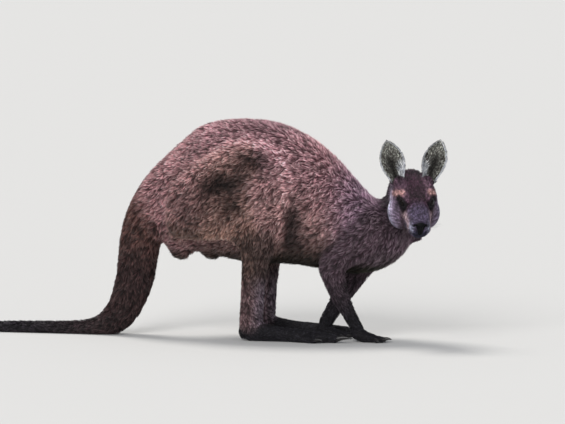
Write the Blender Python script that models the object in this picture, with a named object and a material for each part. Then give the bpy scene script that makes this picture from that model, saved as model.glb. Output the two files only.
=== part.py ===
"""Western grey kangaroo, life size, in a slow five-footed walk with its head turned to its right.

Metres, +Z up, the animal faces +X and its right side faces -Y. The tables are in centimetres, measured from a
point under the belly, and SHIFT moves them so that the box of the whole animal is centred over the origin.
The solids reach to the tips of the coat. Everything that meets the floor is cut flat at Z = 0.
"""

import math

import bmesh
import bpy
import numpy as np
from mathutils import Vector

CM = 0.01
SHIFT = np.array([0.1360, 0.0281, 0.0])
GAP = 0.0004  # between two neighbouring pieces

# ---------------------------------------------------------------- sizes, cm

# Trunk and neck in the middle plane: top x, z, bottom x, z, half width.
TRUNK = (
    (-24.5, 39.3, -21.1, 23.6, 5.2),
    (-20.9, 43.2, -18.2, 21.2, 7.0),
    (-16.0, 47.9, -14.2, 20.4, 8.6),
    (-11.5, 51.2, -10.3, 19.8, 9.8),
    (-4.9, 52.7, -4.9, 18.6, 11.0),
    (1.2, 52.8, 0.5, 17.8, 11.8),
    (7.4, 52.0, 5.9, 17.7, 12.2),
    (13.0, 49.7, 11.3, 17.6, 12.0),
    (18.4, 46.3, 15.7, 17.0, 11.2),
    (22.8, 42.2, 19.9, 16.3, 10.0),
    (26.7, 37.9, 24.5, 15.7, 8.8),
    (29.9, 34.8, 29.9, 16.1, 7.8),
    (32.1, 34.2, 34.6, 17.9, 6.9),
    (33.5, 35.6, 37.8, 20.6, 6.1),
    (34.2, 37.2, 39.8, 23.6, 5.6),
)
# The neck goes on round to the back of the head: centre x, y, z, half depth, half width.
NECK = (
    (35.6, 0.0, 27.6, 7.4, 6.1),
    (37.7, -0.4, 30.6, 6.6, 5.9),
    (39.0, -1.2, 33.5, 5.9, 5.6),
    (39.8, -3.0, 36.2, 5.7, 5.4),
    (40.6, -5.4, 36.4, 4.9, 4.9),
)
# Tail in the middle plane, from inside the rump to the tip on the floor.
TAIL = (
    (-19.1, 45.0, -12.3, 27.5, 6.6),
    (-24.5, 39.8, -17.2, 24.6, 6.3),
    (-27.5, 35.6, -20.1, 23.2, 5.9),
    (-29.9, 31.0, -21.6, 22.2, 5.4),
    (-31.6, 25.7, -22.1, 20.5, 5.0),
    (-32.3, 21.1, -22.6, 18.1, 4.7),
    (-32.7, 16.7, -23.1, 14.5, 4.4),
    (-33.6, 11.9, -24.3, 10.4, 4.1),
    (-34.7, 8.2, -26.6, 5.5, 3.8),
    (-36.8, 5.3, -29.6, 1.7, 3.3),
    (-39.2, 3.9, -35.2, -0.35, 2.7),
    (-42.4, 3.35, -41.2, -0.4, 2.25),
    (-47.2, 3.1, -47.2, -0.3, 1.95),
    (-54.0, 3.0, -54.0, -0.25, 1.75),
    (-61.3, 2.8, -61.3, -0.25, 1.6),
    (-68.7, 2.35, -68.7, -0.2, 1.35),
    (-75.4, 1.7, -75.4, -0.15, 1.0),
)
# Limbs on the right side: centre x, y, z, half depth in the middle plane, half width across it.
THIGH = (
    (-14.6, -5.2, 33.6, 7.6, 4.4),
    (-9.3, -6.6, 36.4, 8.1, 5.3),
    (-2.5, -7.3, 38.9, 8.2, 5.2),
    (3.6, -7.5, 40.4, 7.7, 4.6),
)
HAM = (
    (-15.6, -5.4, 31.6, 8.0, 4.9),
    (-9.4, -7.8, 30.5, 7.2, 5.4),
    (-3.0, -8.8, 30.6, 6.8, 5.2),
    (2.2, -9.2, 32.0, 7.0, 5.2),
)
SHANK = (
    (4.3, -8.3, 38.2, 7.2, 4.8),
    (3.2, -9.3, 31.6, 7.3, 5.0),
    (3.0, -8.8, 26.4, 6.5, 4.6),
    (3.3, -8.2, 22.6, 4.8, 4.0),
    (3.0, -7.6, 19.6, 3.8, 3.4),
    (2.5, -7.2, 15.6, 3.2, 2.95),
    (2.1, -7.1, 9.6, 3.0, 2.65),
    (1.8, -7.2, 4.8, 3.0, 2.6),
    (1.7, -7.2, 2.4, 2.9, 2.5),
)
ARM_R = (
    (32.6, -4.4, 28.4, 5.0, 3.4),
    (31.0, -5.7, 26.8, 5.6, 3.9),
    (27.5, -7.0, 23.6, 4.8, 3.9),
    (23.4, -7.7, 20.3, 3.7, 3.4),
    (21.4, -7.6, 18.2, 3.3, 3.1),
    (21.9, -7.4, 16.0, 3.0, 2.8),
    (23.0, -7.0, 12.4, 2.55, 2.45),
    (23.9, -6.6, 10.0, 2.2, 2.15),
    (25.1, -5.8, 7.5, 1.9, 1.95),
    (26.2, -5.3, 5.2, 1.7, 1.8),
    (27.4, -4.9, 3.0, 1.6, 1.75),
)
ARM_L = (
    (32.4, -4.4, 28.0, 5.0, 3.4),
    (30.8, -5.3, 26.2, 5.6, 3.9),
    (28.1, -6.2, 21.0, 4.5, 3.8),
    (24.9, -5.7, 15.7, 3.3, 3.2),
    (22.7, -4.6, 12.0, 2.75, 2.65),
    (20.9, -3.7, 8.8, 2.25, 2.25),
    (19.3, -2.9, 5.9, 1.95, 1.95),
    (17.9, -2.4, 3.5, 1.75, 1.8),
)
# Foot along +X from the ankle: x, z, half height, half width.
FOOT = (
    (-0.4, 1.7, 1.5, 1.5),
    (0.9, 2.2, 2.35, 2.1),
    (3.2, 2.3, 2.45, 2.35),
    (6.4, 1.9, 2.05, 2.1),
    (10.2, 1.6, 1.75, 1.95),
    (14.0, 1.45, 1.6, 1.95),
    (17.2, 1.3, 1.45, 1.6),
    (20.0, 1.15, 1.3, 1.3),
    (22.2, 1.05, 1.15, 1.1),
)
FOOT_Y, FOOT_OUT = 7.2, 4.0  # where the foot stands, and how far it turns out, degrees
# Toes off the foot, inner is towards the middle: start x, out, end x, out, radius, claw length, claw radius.
TOES = (
    ("toe4", 20.4, 0.0, 23.0, 0.1, 1.0, 3.7, 0.62),
    ("toe5", 12.6, 1.1, 18.4, 2.5, 0.82, 2.1, 0.42),
    ("toe3", 12.8, -0.9, 17.0, -1.75, 0.52, 1.5, 0.25),
    ("toe2", 12.4, -1.6, 16.2, -2.65, 0.5, 1.4, 0.25),
)
# Digits of a forepaw: name, spread in degrees outward, length, radius, claw length.
FINGERS = (
    ("1", -44, 2.1, 0.55, 1.5),
    ("2", -20, 2.9, 0.6, 1.8),
    ("3", -2, 3.2, 0.62, 1.9),
    ("4", 16, 3.0, 0.6, 1.8),
    ("5", 38, 2.3, 0.55, 1.6),
)
HAND_R = ((27.7, -4.8, 2.6), -6.0)  # wrist, and the way it points, degrees towards the outside
HAND_L = ((17.9, -2.3, 2.6), 2.0)

# Head in its own frame: x to the nose, y to its left, z up; station x, top, bottom, half width.
HEAD_AT, HEAD_YAW, HEAD_PITCH = (40.1, -3.0, 37.25), -71.5, 26.5
HEAD = (
    (-2.6, 3.4, -4.6, 3.8),
    (0.0, 4.2, -5.6, 4.9),
    (3.0, 4.9, -6.3, 5.65),
    (6.0, 5.0, -6.7, 5.75),
    (8.8, 4.55, -6.4, 5.3),
    (10.6, 4.1, -5.8, 4.5),
    (12.4, 3.65, -5.0, 3.6),
    (14.6, 3.1, -4.1, 3.05),
    (16.8, 2.65, -3.5, 2.8),
    (18.5, 2.2, -2.8, 2.35),
)
EYE_AT, EYE_R = (10.0, 2.9, 1.95), 1.3
EAR_AT, EAR_LONG = (2.9, 3.5, 2.5), 11.0
EAR_BASE = 1.0  # how far up the ear its seat in the head is cut
# Ear: share of its length, half width, how far the middle bows back.
EAR = (
    (0.0, 1.15, 1.25),
    (0.1, 1.65, 1.55),
    (0.22, 2.2, 1.6),
    (0.36, 2.75, 1.45),
    (0.5, 3.02, 1.2),
    (0.64, 2.9, 0.95),
    (0.78, 2.35, 0.7),
    (0.89, 1.55, 0.45),
    (0.96, 0.85, 0.25),
    (1.0, 0.25, 0.1),
)
# Hollows and creases of the right flank: x, z, radius, depth; each presses the skin in.
HOLLOWS = (
    (-5.2, 36.6, 4.2, 0.9),
    (0.2, 43.2, 3.0, 0.45),
    (-4.6, 29.4, 2.8, 0.6),
)


# ---------------------------------------------------------------- shapes from stations


def through(rows, per):
    """A smooth curve through rows of numbers, with per steps between each pair."""
    rows = np.array(rows, float)
    gaps = np.linalg.norm(np.diff(rows[:, :3], axis=0), axis=1)
    at = np.concatenate([[0.0], np.cumsum(np.maximum(gaps, 1e-6))])
    slope = np.gradient(rows, at, axis=0)
    out = []
    for i in range(len(rows) - 1):
        span = at[i + 1] - at[i]
        for t in np.arange(per) / per:
            a, b = (1 + 2 * t) * (1 - t) ** 2, t * (1 - t) ** 2
            c, d = t * t * (3 - 2 * t), t * t * (t - 1)
            out.append(
                a * rows[i] + b * span * slope[i] + c * rows[i + 1] + d * span * slope[i + 1]
            )
    out.append(rows[-1])
    return np.array(out)


def tube(centres, ups, sides, cap_start, cap_end, around=28, square=1.0, steps=(24, 48, 70)):
    """Rings centre + cos * side + sin * up, closed by round caps of the given lengths."""
    turn = np.linspace(0, 2 * math.pi, around, endpoint=False)
    c = np.sign(np.cos(turn)) * np.abs(np.cos(turn)) ** square
    s = np.sign(np.sin(turn)) * np.abs(np.sin(turn)) ** square
    rings = [m + np.outer(c, h) + np.outer(s, v) for m, v, h in zip(centres, ups, sides)]

    def cap(k, way, long):
        on = centres[k] - centres[k - way]
        on = on / (np.linalg.norm(on) + 1e-9) * long
        more = []
        for a in np.radians(steps):
            middle = centres[k] + on * math.sin(a)
            more.append(middle + (rings[k] - centres[k]) * math.cos(a))
        return more, centres[k] + on

    first, pole_a = cap(0, -1, cap_start)
    last, pole_b = cap(len(rings) - 1, 1, cap_end)
    rings = first[::-1] + rings + last
    points = np.concatenate(rings + [[pole_a], [pole_b]])
    faces, n, m = [], around, len(rings)
    for i in range(m - 1):
        for j in range(n):
            k = (j + 1) % n
            faces.append((i * n + j, i * n + k, (i + 1) * n + k, (i + 1) * n + j))
    for j in range(n):
        k = (j + 1) % n
        faces.append((m * n, k, j))
        faces.append((m * n + 1, (m - 1) * n + j, (m - 1) * n + k))
    return points, faces


def plane_tube(rows, per=4, caps=(0.5, 0.5), square=1.0):
    """A tube whose rings stand across the middle plane, from top and bottom points and half widths."""
    r = through(rows, per)
    top = np.stack([r[:, 0], 0 * r[:, 0], r[:, 1]], 1)
    low = np.stack([r[:, 2], 0 * r[:, 0], r[:, 3]], 1)
    side = np.stack([0 * r[:, 4], r[:, 4], 0 * r[:, 4]], 1)
    return tube((top + low) / 2, (top - low) / 2, side, *caps, square=square)


def limb_tube(rows, per=4, caps=(0.5, 0.5), square=1.0, mirror=False):
    """A tube along a path, from centres and the half depth and half width of its rings."""
    r = through(rows, per)
    if mirror:
        r[:, 1] *= -1
    centre = r[:, :3]
    on = np.gradient(centre, axis=0)
    on /= np.linalg.norm(on, axis=1)[:, None]
    side = np.array([0.0, 1.0, 0.0]) - on * on[:, 1:2]
    side /= np.linalg.norm(side, axis=1)[:, None]
    up = np.cross(on, side)
    return tube(centre, up * r[:, 3:4], side * r[:, 4:5], *caps, square=square)


def ball(centre, radii, turn=None):
    """A closed ellipsoid, turned by the rows of turn."""
    rings, n = [], 14
    ring = np.linspace(0, 2 * math.pi, n, endpoint=False)
    for a in np.linspace(-math.pi / 2, math.pi / 2, 9)[1:-1]:
        rings.append(
            np.stack([math.cos(a) * np.cos(ring), math.cos(a) * np.sin(ring), 0 * ring + math.sin(a)], 1)
        )
    points = np.concatenate(rings + [[[0, 0, -1]], [[0, 0, 1]]]) * radii
    if turn is not None:
        points = points @ np.array(turn)
    m, faces = len(rings), []
    for i in range(m - 1):
        for j in range(n):
            k = (j + 1) % n
            faces.append((i * n + j, i * n + k, (i + 1) * n + k, (i + 1) * n + j))
    for j in range(n):
        k = (j + 1) % n
        faces.append((m * n, k, j))
        faces.append((m * n + 1, (m - 1) * n + j, (m - 1) * n + k))
    return points + np.array(centre, float), faces


def head_axes():
    yaw, pitch = math.radians(HEAD_YAW), math.radians(HEAD_PITCH)
    ahead = np.array([math.cos(yaw), math.sin(yaw), 0.0])
    front = ahead * math.cos(pitch) - np.array([0, 0, math.sin(pitch)])
    up = ahead * math.sin(pitch) + np.array([0, 0, math.cos(pitch)])
    return np.stack([front, np.cross(up, front), up])


AXES = head_axes()


def from_head(points):
    return np.asarray(points, float) @ AXES + HEAD_AT


def head_shapes():
    """The head's tubes and swellings, in the world's centimetres."""
    r = through(HEAD, 4)
    zero = 0 * r[:, 0]
    centre = np.stack([r[:, 0], zero, (r[:, 1] + r[:, 2]) / 2], 1)
    up = np.stack([zero, zero, (r[:, 1] - r[:, 2]) / 2], 1)
    side = np.stack([zero, r[:, 3], zero], 1)
    shapes = [tube(centre, up, side, 1.5, 1.0, square=0.9)]
    for s in (-1, 1):
        shapes += [
            ball((6.2, s * 2.9, -3.1), (4.8, 3.5, 4.1)),  # cheek
            ball((16.6, s * 1.3, -1.0), (2.3, 1.6, 1.75)),  # upper lip
            ball((2.1, s * 3.4, 2.6), (2.0, 1.7, 1.9)),  # root of the ear
        ]
    shapes += [
        ball((18.5, 0, 0.75), (1.35, 1.75, 1.35)),  # nose
        ball((15.4, 0, -3.0), (2.5, 1.8, 1.2)),  # chin
    ]
    return [(from_head(points), faces) for points, faces in shapes]


def claw(base, on, long, thick, drop, grow=0.0, back=0.45):
    """A curved, pointed claw from its root, with its middle bowed up."""
    on = np.array(on, float) / np.linalg.norm(on)
    side = np.cross([0, 0, 1.0], on)
    side /= np.linalg.norm(side)
    rows = []
    for t in np.linspace(0, 1, 4):
        middle = np.array(base) + on * (long * t - back) + np.array([0, 0, 0.16 * long * math.sin(2.2 * t) - drop * t])
        r = thick * (1 - t) ** 0.7 + 0.03 + grow
        rows.append((middle, r))
    centres = np.array([m for m, _ in rows])
    high = np.array([[0, 0, 1.15 * r] for _, r in rows])
    wide = np.array([side * r * 0.85 for _, r in rows])
    return tube(centres, high, wide, grow + 0.05, grow + 0.05, around=5, steps=(45,))


def hand_parts(where, mirror):
    """Palm and fingers, and for each finger its claw's root, way, length and name."""
    (x, y, z), yaw = where
    a = math.radians(yaw)
    ahead, out = np.array([math.cos(a), math.sin(a), 0]), np.array([math.sin(a), -math.cos(a), 0])
    wrist = np.array([x, y, z])
    palm = [
        np.append(wrist + ahead * d + [0, 0, h - z], (tall, wide))
        for d, h, tall, wide in (
            (-0.9, 2.4, 1.7, 1.75),
            (0.5, 1.6, 1.55, 1.9),
            (2.0, 1.15, 1.3, 2.15),
            (3.4, 0.95, 1.05, 2.1),
        )
    ]
    shapes, claws = [limb_tube(palm, 3, (1.2, 0.8), mirror=mirror)], []
    flip = np.array([1, -1, 1]) if mirror else np.array([1, 1, 1])
    for name, spread, long, thick, nail in FINGERS:
        b = math.radians(spread)
        way = ahead * math.cos(b) + out * math.sin(b)
        root = wrist + ahead * 2.2 + way * 0.8 + [0, 0, 0.75 - z]
        tip = root + way * (long + 0.2)
        rows = [
            np.append(root, (thick * 1.1, thick * 1.05)),
            np.append(root * 0.5 + tip * 0.5 + [0, 0, 0.22], (thick * 1.05, thick)),
            np.append(tip + [0, 0, -0.08], (thick * 0.95, thick * 0.9)),
        ]
        shapes.append(limb_tube(rows, 3, (0.4, 0.45), mirror=mirror))
        claws.append((name, (tip + way * 0.3 + [0, 0, 0.02]) * flip, way * flip, nail))
    return shapes, claws


def foot_parts(mirror):
    """Sole and toes, and for each toe its claw's root, way, length, radius and name."""
    turn = math.radians(FOOT_OUT)

    def put(x, out, z, s):
        return np.array([x * math.cos(turn) - out * math.sin(turn), s * (FOOT_Y + x * math.sin(turn) + out * math.cos(turn)), z])

    rows = [(*put(x, 0, z, -1), tall, wide) for x, z, tall, wide in FOOT]
    shapes = [limb_tube(rows, 3, (0.9, 0.7), mirror=mirror)]
    claws = []
    for name, x0, o0, x1, o1, thick, nail, nail_r in TOES:
        s = 1 if mirror else -1
        a, b = put(x0, o0, thick, s), put(x1, o1, thick * 0.85, s)
        rows = [
            np.append(a, (thick, thick)),
            np.append((a + b) / 2 + [0, 0, 0.25 * thick], (thick * 1.05, thick)),
            np.append(b, (thick * 0.95, thick * 0.95)),
        ]
        shapes.append(limb_tube(rows, 3, (0.3, 0.5 * thick)))
        way = (b - a) * [1, 1, 0]
        way /= np.linalg.norm(way)
        claws.append((name, b + way * 0.5 * thick, way, nail, nail_r))
    return shapes, claws


def ear_axes(s):
    """Frame of an ear, in the world: width, up its length, and the way its hollow faces."""
    lean = math.radians(15.5)
    out = AXES[1] * s
    up = np.array([0, 0, 1.0]) * math.cos(lean) + out * math.sin(lean)
    face = AXES[0] * [1, 1, 0]
    face = face / np.linalg.norm(face) + 0.12 * out
    face -= up * face.dot(up)
    face /= np.linalg.norm(face)
    return np.cross(up, face), up, face


def ear_sheet(s, thick, start=0.0, rows=14, cols=9):
    """One ear: a pointed, hollowed leaf of the given thickness, open to the front."""
    width, up, face = ear_axes(s)
    foot = from_head([EAR_AT[0], s * EAR_AT[1], EAR_AT[2]])
    t_at = [e[0] for e in EAR]
    front, back = [], []
    for i in range(rows):
        t = start + (1 - start) * (i / (rows - 1)) ** 0.9
        half = np.interp(t, t_at, [e[1] for e in EAR])
        bow = np.interp(t, t_at, [e[2] for e in EAR])
        for j in range(cols):
            u = -1 + 2 * j / (cols - 1)
            p = foot + up * EAR_LONG * t + width * half * math.sin(u * 1.45) / math.sin(1.45)
            p = p - face * (bow * (1 - u * u) - 0.35 * t * t)
            k = thick * (0.35 + 0.65 * (1 - abs(u) ** 3)) * (1 - 0.45 * t)
            front.append(p)
            back.append(p - face * k)
    return grid_solid(np.array(front), np.array(back), rows, cols)


def grid_solid(front, back, rows, cols):
    n = rows * cols
    points, faces = np.concatenate([front, back]), []
    for i in range(rows - 1):
        for j in range(cols - 1):
            a, b, c, d = i * cols + j, i * cols + j + 1, (i + 1) * cols + j + 1, (i + 1) * cols + j
            faces += [(a, b, c, d), (n + d, n + c, n + b, n + a)]
    rim = [j for j in range(cols)] + [i * cols + cols - 1 for i in range(1, rows)]
    rim += [(rows - 1) * cols + j for j in range(cols - 2, -1, -1)] + [i * cols for i in range(rows - 2, 0, -1)]
    for a, b in zip(rim, rim[1:] + rim[:1]):
        faces.append((b, a, n + a, n + b))
    return points, faces


# ---------------------------------------------------------------- Blender meshes

for old in list(bpy.data.objects):
    bpy.data.objects.remove(old, do_unlink=True)
SCENE = bpy.context.scene.collection


def mesh_of(shapes, name="shape"):
    """One mesh in metres from closed shapes in centimetres, each facing out."""
    points, faces, at = [], [], 0
    for p, f in shapes:
        mesh = bpy.data.meshes.new("one")
        mesh.from_pydata((np.asarray(p) * CM + SHIFT).tolist(), [], [tuple(q) for q in f])
        bm = bmesh.new()
        bm.from_mesh(mesh)
        bmesh.ops.recalc_face_normals(bm, faces=bm.faces)
        if bm.calc_volume(signed=True) < 0:
            bmesh.ops.reverse_faces(bm, faces=bm.faces)
        points += [tuple(v.co) for v in bm.verts]
        faces += [tuple(at + v.index for v in face.verts) for face in bm.faces]
        at += len(bm.verts)
        bm.free()
        bpy.data.meshes.remove(mesh)
    mesh = bpy.data.meshes.new(name)
    mesh.from_pydata(points, [], faces)
    return mesh


def with_modifier(mesh, kind, **settings):
    """The mesh after one modifier."""
    obj = bpy.data.objects.new("work", mesh)
    SCENE.objects.link(obj)
    modifier = obj.modifiers.new(kind, kind)
    for key, value in settings.items():
        setattr(modifier, key, value)
    graph = bpy.context.evaluated_depsgraph_get()
    made = bpy.data.meshes.new_from_object(obj.evaluated_get(graph), depsgraph=graph)
    bpy.data.objects.remove(obj, do_unlink=True)
    return made


def cut(mesh, other, operation):
    cutter = bpy.data.objects.new("cutter", other)
    SCENE.objects.link(cutter)
    made = with_modifier(mesh, "BOOLEAN", object=cutter, operation=operation, solver="EXACT")
    bpy.data.objects.remove(cutter, do_unlink=True)
    return made


def points_of(mesh):
    co = np.empty(len(mesh.vertices) * 3)
    mesh.vertices.foreach_get("co", co)
    return co.reshape(-1, 3)


def set_points(mesh, co):
    mesh.vertices.foreach_set("co", np.ascontiguousarray(co).ravel())
    mesh.update()


def evened(mesh, rounds):
    """Rounds off the joins and the voxel steps without thinning the limbs."""
    co = points_of(mesh)
    edges = np.empty(len(mesh.edges) * 2, int)
    mesh.edges.foreach_get("vertices", edges)
    a, b = edges.reshape(-1, 2).T
    n = len(co)
    count = np.bincount(a, minlength=n) + np.bincount(b, minlength=n)
    for i in range(2 * rounds):
        mean = np.stack(
            [np.bincount(a, co[b, k], n) + np.bincount(b, co[a, k], n) for k in range(3)], 1
        ) / count[:, None]
        co = co + (0.6 if i % 2 == 0 else -0.615) * (mean - co)
    set_points(mesh, co)


def hollowed(mesh):
    co = points_of(mesh)
    cm = (co - SHIFT) / CM
    for x, z, radius, depth in HOLLOWS:
        near = np.exp(-((cm[:, 0] - x) ** 2 + (cm[:, 2] - z) ** 2) / radius**2)
        outer = np.clip((np.abs(cm[:, 1]) - 7) / 3, 0, 1)
        co[:, 1] -= np.sign(cm[:, 1]) * near * outer * depth * CM
    set_points(mesh, co)


def merged(shapes, voxel, rounds, triangles, dents=False):
    """One smooth closed mesh from overlapping shapes, in about the given number of triangles."""
    mesh = with_modifier(mesh_of(shapes), "REMESH", mode="VOXEL", voxel_size=voxel * CM)
    evened(mesh, rounds)
    if dents:
        hollowed(mesh)
    have = 2 * len(mesh.polygons)
    return with_modifier(mesh, "DECIMATE", ratio=min(1.0, triangles / have), use_collapse_triangulate=True)


def box(low, high, grow=0.0):
    low, high = np.array(low, float) - grow, np.array(high, float) + grow
    corners = [[(low, high)[(i >> k) & 1][k] for k in range(3)] for i in range(8)]
    faces = [(0, 1, 3, 2), (4, 6, 7, 5), (0, 4, 5, 1), (2, 3, 7, 6), (0, 2, 6, 4), (1, 5, 7, 3)]
    return mesh_of([(np.array(corners), faces)], "cell")


def prism(outline, y0, y1, grow=0.0):
    """A cell with the given outline in the middle plane, from y0 to y1, made bigger by grow all round."""
    p = np.array(outline, float)
    middle = p.mean(axis=0)
    area = np.cross(p - middle, np.roll(p, -1, 0) - middle).sum()
    e = np.roll(p, -1, 0) - p
    n = np.stack([e[:, 1], -e[:, 0]], 1) / np.linalg.norm(e, axis=1)[:, None] * np.sign(area)
    m = n + np.roll(n, 1, 0)
    p = p + grow * m * 2 / (m * m).sum(axis=1)[:, None]
    lo, hi = min(y0, y1) - grow, max(y0, y1) + grow
    points = np.array([[x, y, z] for y in (lo, hi) for x, z in p])
    k = len(p)
    faces = [tuple(range(k)), tuple(range(2 * k - 1, k - 1, -1))]
    faces += [(i, k + i, k + (i + 1) % k, (i + 1) % k) for i in range(k)]
    return mesh_of([(points, faces)], "cell")


def slab_cell(at, way, grow=0.0, size=16.0):
    """A big block that starts at a plane through at and runs on along way."""
    way = np.array(way, float) / np.linalg.norm(way)
    side = np.cross(way, [0, 0, 1.0] if abs(way[2]) < 0.9 else [1.0, 0, 0])
    side /= np.linalg.norm(side)
    up = np.cross(side, way)
    at = np.array(at, float) - way * grow
    corners = [at + way * d * size + side * a * size + up * b * size for d in (0, 1) for a in (-1, 1) for b in (-1, 1)]
    faces = [(0, 1, 3, 2), (4, 6, 7, 5), (0, 4, 5, 1), (2, 3, 7, 6), (0, 2, 6, 4), (1, 5, 7, 3)]
    return mesh_of([(np.array(corners), faces)], "cell")


HALF = GAP / CM / 2
MADE = {}


def biggest(mesh):
    """The mesh without crumbs that a cut left loose."""
    bm = bmesh.new()
    bm.from_mesh(mesh)
    bm.verts.ensure_lookup_table()
    seen, parts = set(), []
    for v in bm.verts:
        if v in seen:
            continue
        stack, part = [v], []
        seen.add(v)
        while stack:
            w = stack.pop()
            part.append(w)
            for e in w.link_edges:
                o = e.other_vert(w)
                if o not in seen:
                    seen.add(o)
                    stack.append(o)
        parts.append(part)
    if len(parts) > 1:
        parts.sort(key=len)
        bmesh.ops.delete(bm, geom=[v for part in parts[:-1] for v in part], context="VERTS")
    bmesh.ops.triangulate(bm, faces=bm.faces)
    bm.to_mesh(mesh)
    bm.free()
    return mesh


def take(work, name, cell):
    """Moves what lies in the cell from work to the node of that name, and leaves a thin gap."""
    if name:
        MADE[name] = biggest(cut(work, cell(-HALF), "INTERSECT"))
    return cut(work, cell(HALF), "DIFFERENCE")


# ---------------------------------------------------------------- the body, parted into its nodes


def sided(low, high, s):
    """A cell on the right (s = -1) or the left, from corners whose y is given outward."""
    (x0, o0, z0), (x1, o1, z1) = low, high
    a, b = (x0, min(s * o0, s * o1), z0), (x1, max(s * o0, s * o1), z1)
    return lambda grow: box(a, b, grow)


def prism_cell(outline, s, o0=5.2, o1=22):
    return lambda grow: prism(outline, s * o0, s * o1, grow)


FLOOR = ((-90, -40, -8), (90, 40, 0))
NECK_CUT = ((38.9, -1.6, 34.6), (0.45, -0.62, 0.55))
COLLAR_CUT = ((33.6, 0, 27.0), (0.9, 0, 0.42))
WRIST, ANKLE = 4.2, 4.4

body = [
    plane_tube(TRUNK, 4, (2.0, 1.0), square=0.94),
    limb_tube(NECK, 4, (1.0, 1.0)),
    plane_tube(TAIL, 4, (1.0, 1.3)),
    ball((-16.8, 0, 24.6), (4.3, 3.9, 6.6)),  # the swelling under the root of the tail
    ball((-9.3, 0, 21.8), (3.2, 3.2, 3.6)),
]
for flip in (False, True):
    s = 1 if flip else -1
    body += [
        limb_tube(THIGH, 4, (4.0, 1.5), mirror=flip),
        ball((4.0, s * 7.4, 40.1), (7.7, 4.7, 7.9)),  # knee
        limb_tube(HAM, 4, (3.3, 3.0), mirror=flip),
        limb_tube(SHANK, 4, (1.5, 1.0), mirror=flip),
        limb_tube(ARM_L if flip else ARM_R, 4, (3.0, 0.8), mirror=flip),
        ball((30.0, s * 4.6, 27.0), (6.4, 3.9, 6.2)),  # shoulder
    ]
work = merged(body, 0.7, 12, 2034, dents=True)
work = cut(work, box(*FLOOR), "DIFFERENCE")

work = take(work, None, lambda grow: slab_cell(*NECK_CUT, grow))
work = take(work, None, sided((8, -14, -1), (36, 14, WRIST), 1))
work = take(work, None, sided((-6, -14, -1), (7.5, 14, ANKLE), 1))
work = take(work, "tail_end", sided((-90, -10, -1), (-36.4, 10, 12), 1))
work = take(work, "tail_mid", sided((-90, -10, -1), (-21.4, 10, 19.4), 1))
TAIL_ROOT = ((-22.6, 0, 32.0), (-0.98, 0, 0.2))
work = take(work, "tail_base", lambda grow: slab_cell(*TAIL_ROOT, grow))
LEG_CELL = ((-3.4, 0), (8.5, 0), (8.7, 16.4), (-2.7, 16.4))
SHANK_CELL = ((-3.0, 15.8), (8.7, 15.8), (8.8, 18), (12.4, 27), (12.4, 30), (-4.6, 30), (-4.6, 24), (-2.6, 18))
THIGH_CELL = ((-21.0, 20.5), (-8, 19.0), (-4.9, 22), (-4.9, 30.3), (12.7, 30.3), (13.6, 42), (10, 48.5), (0, 51.0), (-10, 49.0), (-17.5, 44.5), (-21.6, 35))
UPPER_CELL = {
    "R": ((16.8, 15.4), (27.0, 15.4), (33.2, 19.5), (38.0, 25), (37.0, 33), (31.0, 35.0), (24.5, 29.5), (16.8, 22.0)),
    "L": ((19.8, 13.6), (28.6, 13.6), (33.2, 19.5), (38.0, 25), (37.0, 33), (31.0, 35.0), (25.0, 29.5), (20.4, 18.6)),
}
for side, s in (("R", -1), ("L", 1)):
    work = take(work, "shank_" + side, lambda grow: cut(prism_cell(LEG_CELL, s, 0.4)(grow), prism_cell(SHANK_CELL, s)(grow), "UNION"))
    work = take(work, "thigh_" + side, prism_cell(THIGH_CELL, s, 8.2))
    elbow = UPPER_CELL[side][0][1]
    work = take(work, "forearm_" + side, sided((12, 0.2, -1), (36, 14, elbow), s))
    elbow_cell = ((16.0, elbow), (29.0, elbow), (29.0, 15.9), (16.0, 15.9))
    work = take(work, "upper_arm_" + side, lambda grow: cut(prism_cell(UPPER_CELL[side], s, 5.0)(grow), prism_cell(elbow_cell, s, 0.4)(grow), "UNION"))
work = take(work, "neck", lambda grow: slab_cell(*COLLAR_CUT, grow))
MADE["trunk"] = biggest(work)

# ---------------------------------------------------------------- hands and feet, with their claws


def with_claws(mesh, prefix, roots):
    """Cuts each claw's socket and adds the claw."""
    for name, at, way, long, thick in roots:
        mesh = cut(mesh, mesh_of([claw(at, way, long, thick, 0.25, grow=GAP / CM)], "socket"), "DIFFERENCE")
        MADE[prefix + name] = mesh_of([claw(at, way, long, thick, 0.25)], "claw")
    return mesh


for side, s in (("R", -1), ("L", 1)):
    flip = s > 0
    arm = limb_tube((ARM_L if flip else ARM_R)[-5:], 4, (0.5, 0.8), mirror=flip)
    shapes, roots = hand_parts(HAND_L if flip else HAND_R, flip)
    hand = merged([arm] + shapes, 0.2, 3, 290)
    hand = cut(hand, box(*FLOOR), "DIFFERENCE")
    hand = cut(hand, box((-90, -40, WRIST - HALF), (90, 40, 40)), "DIFFERENCE")
    roots = [("claw_" + n, at + [0, 0, -0.05], way, long, 0.34) for n, at, way, long in roots]
    MADE["hand_" + side] = biggest(with_claws(hand, f"hand_{side}_", roots))

    shapes, roots = foot_parts(flip)
    foot = merged([limb_tube(SHANK[-4:], 4, (0.5, 0.8), mirror=flip)] + shapes, 0.24, 3, 300)
    foot = cut(foot, box(*FLOOR), "DIFFERENCE")
    foot = cut(foot, box((-90, -40, ANKLE - HALF), (90, 40, 40)), "DIFFERENCE")
    roots = [("claw_" + n[-1], at, way, long, thick) for n, at, way, long, thick in roots]
    MADE["foot_" + side] = biggest(with_claws(foot, f"foot_{side}_", roots))

# ---------------------------------------------------------------- head, with its eyes, nose and ears

head = merged(head_shapes() + [limb_tube(NECK, 4, (1.0, 1.0))], 0.3, 6, 860)
at, way = np.array(NECK_CUT[0]), -np.array(NECK_CUT[1])
head = cut(head, slab_cell(at, way, HALF, 20.0), "DIFFERENCE")


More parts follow.
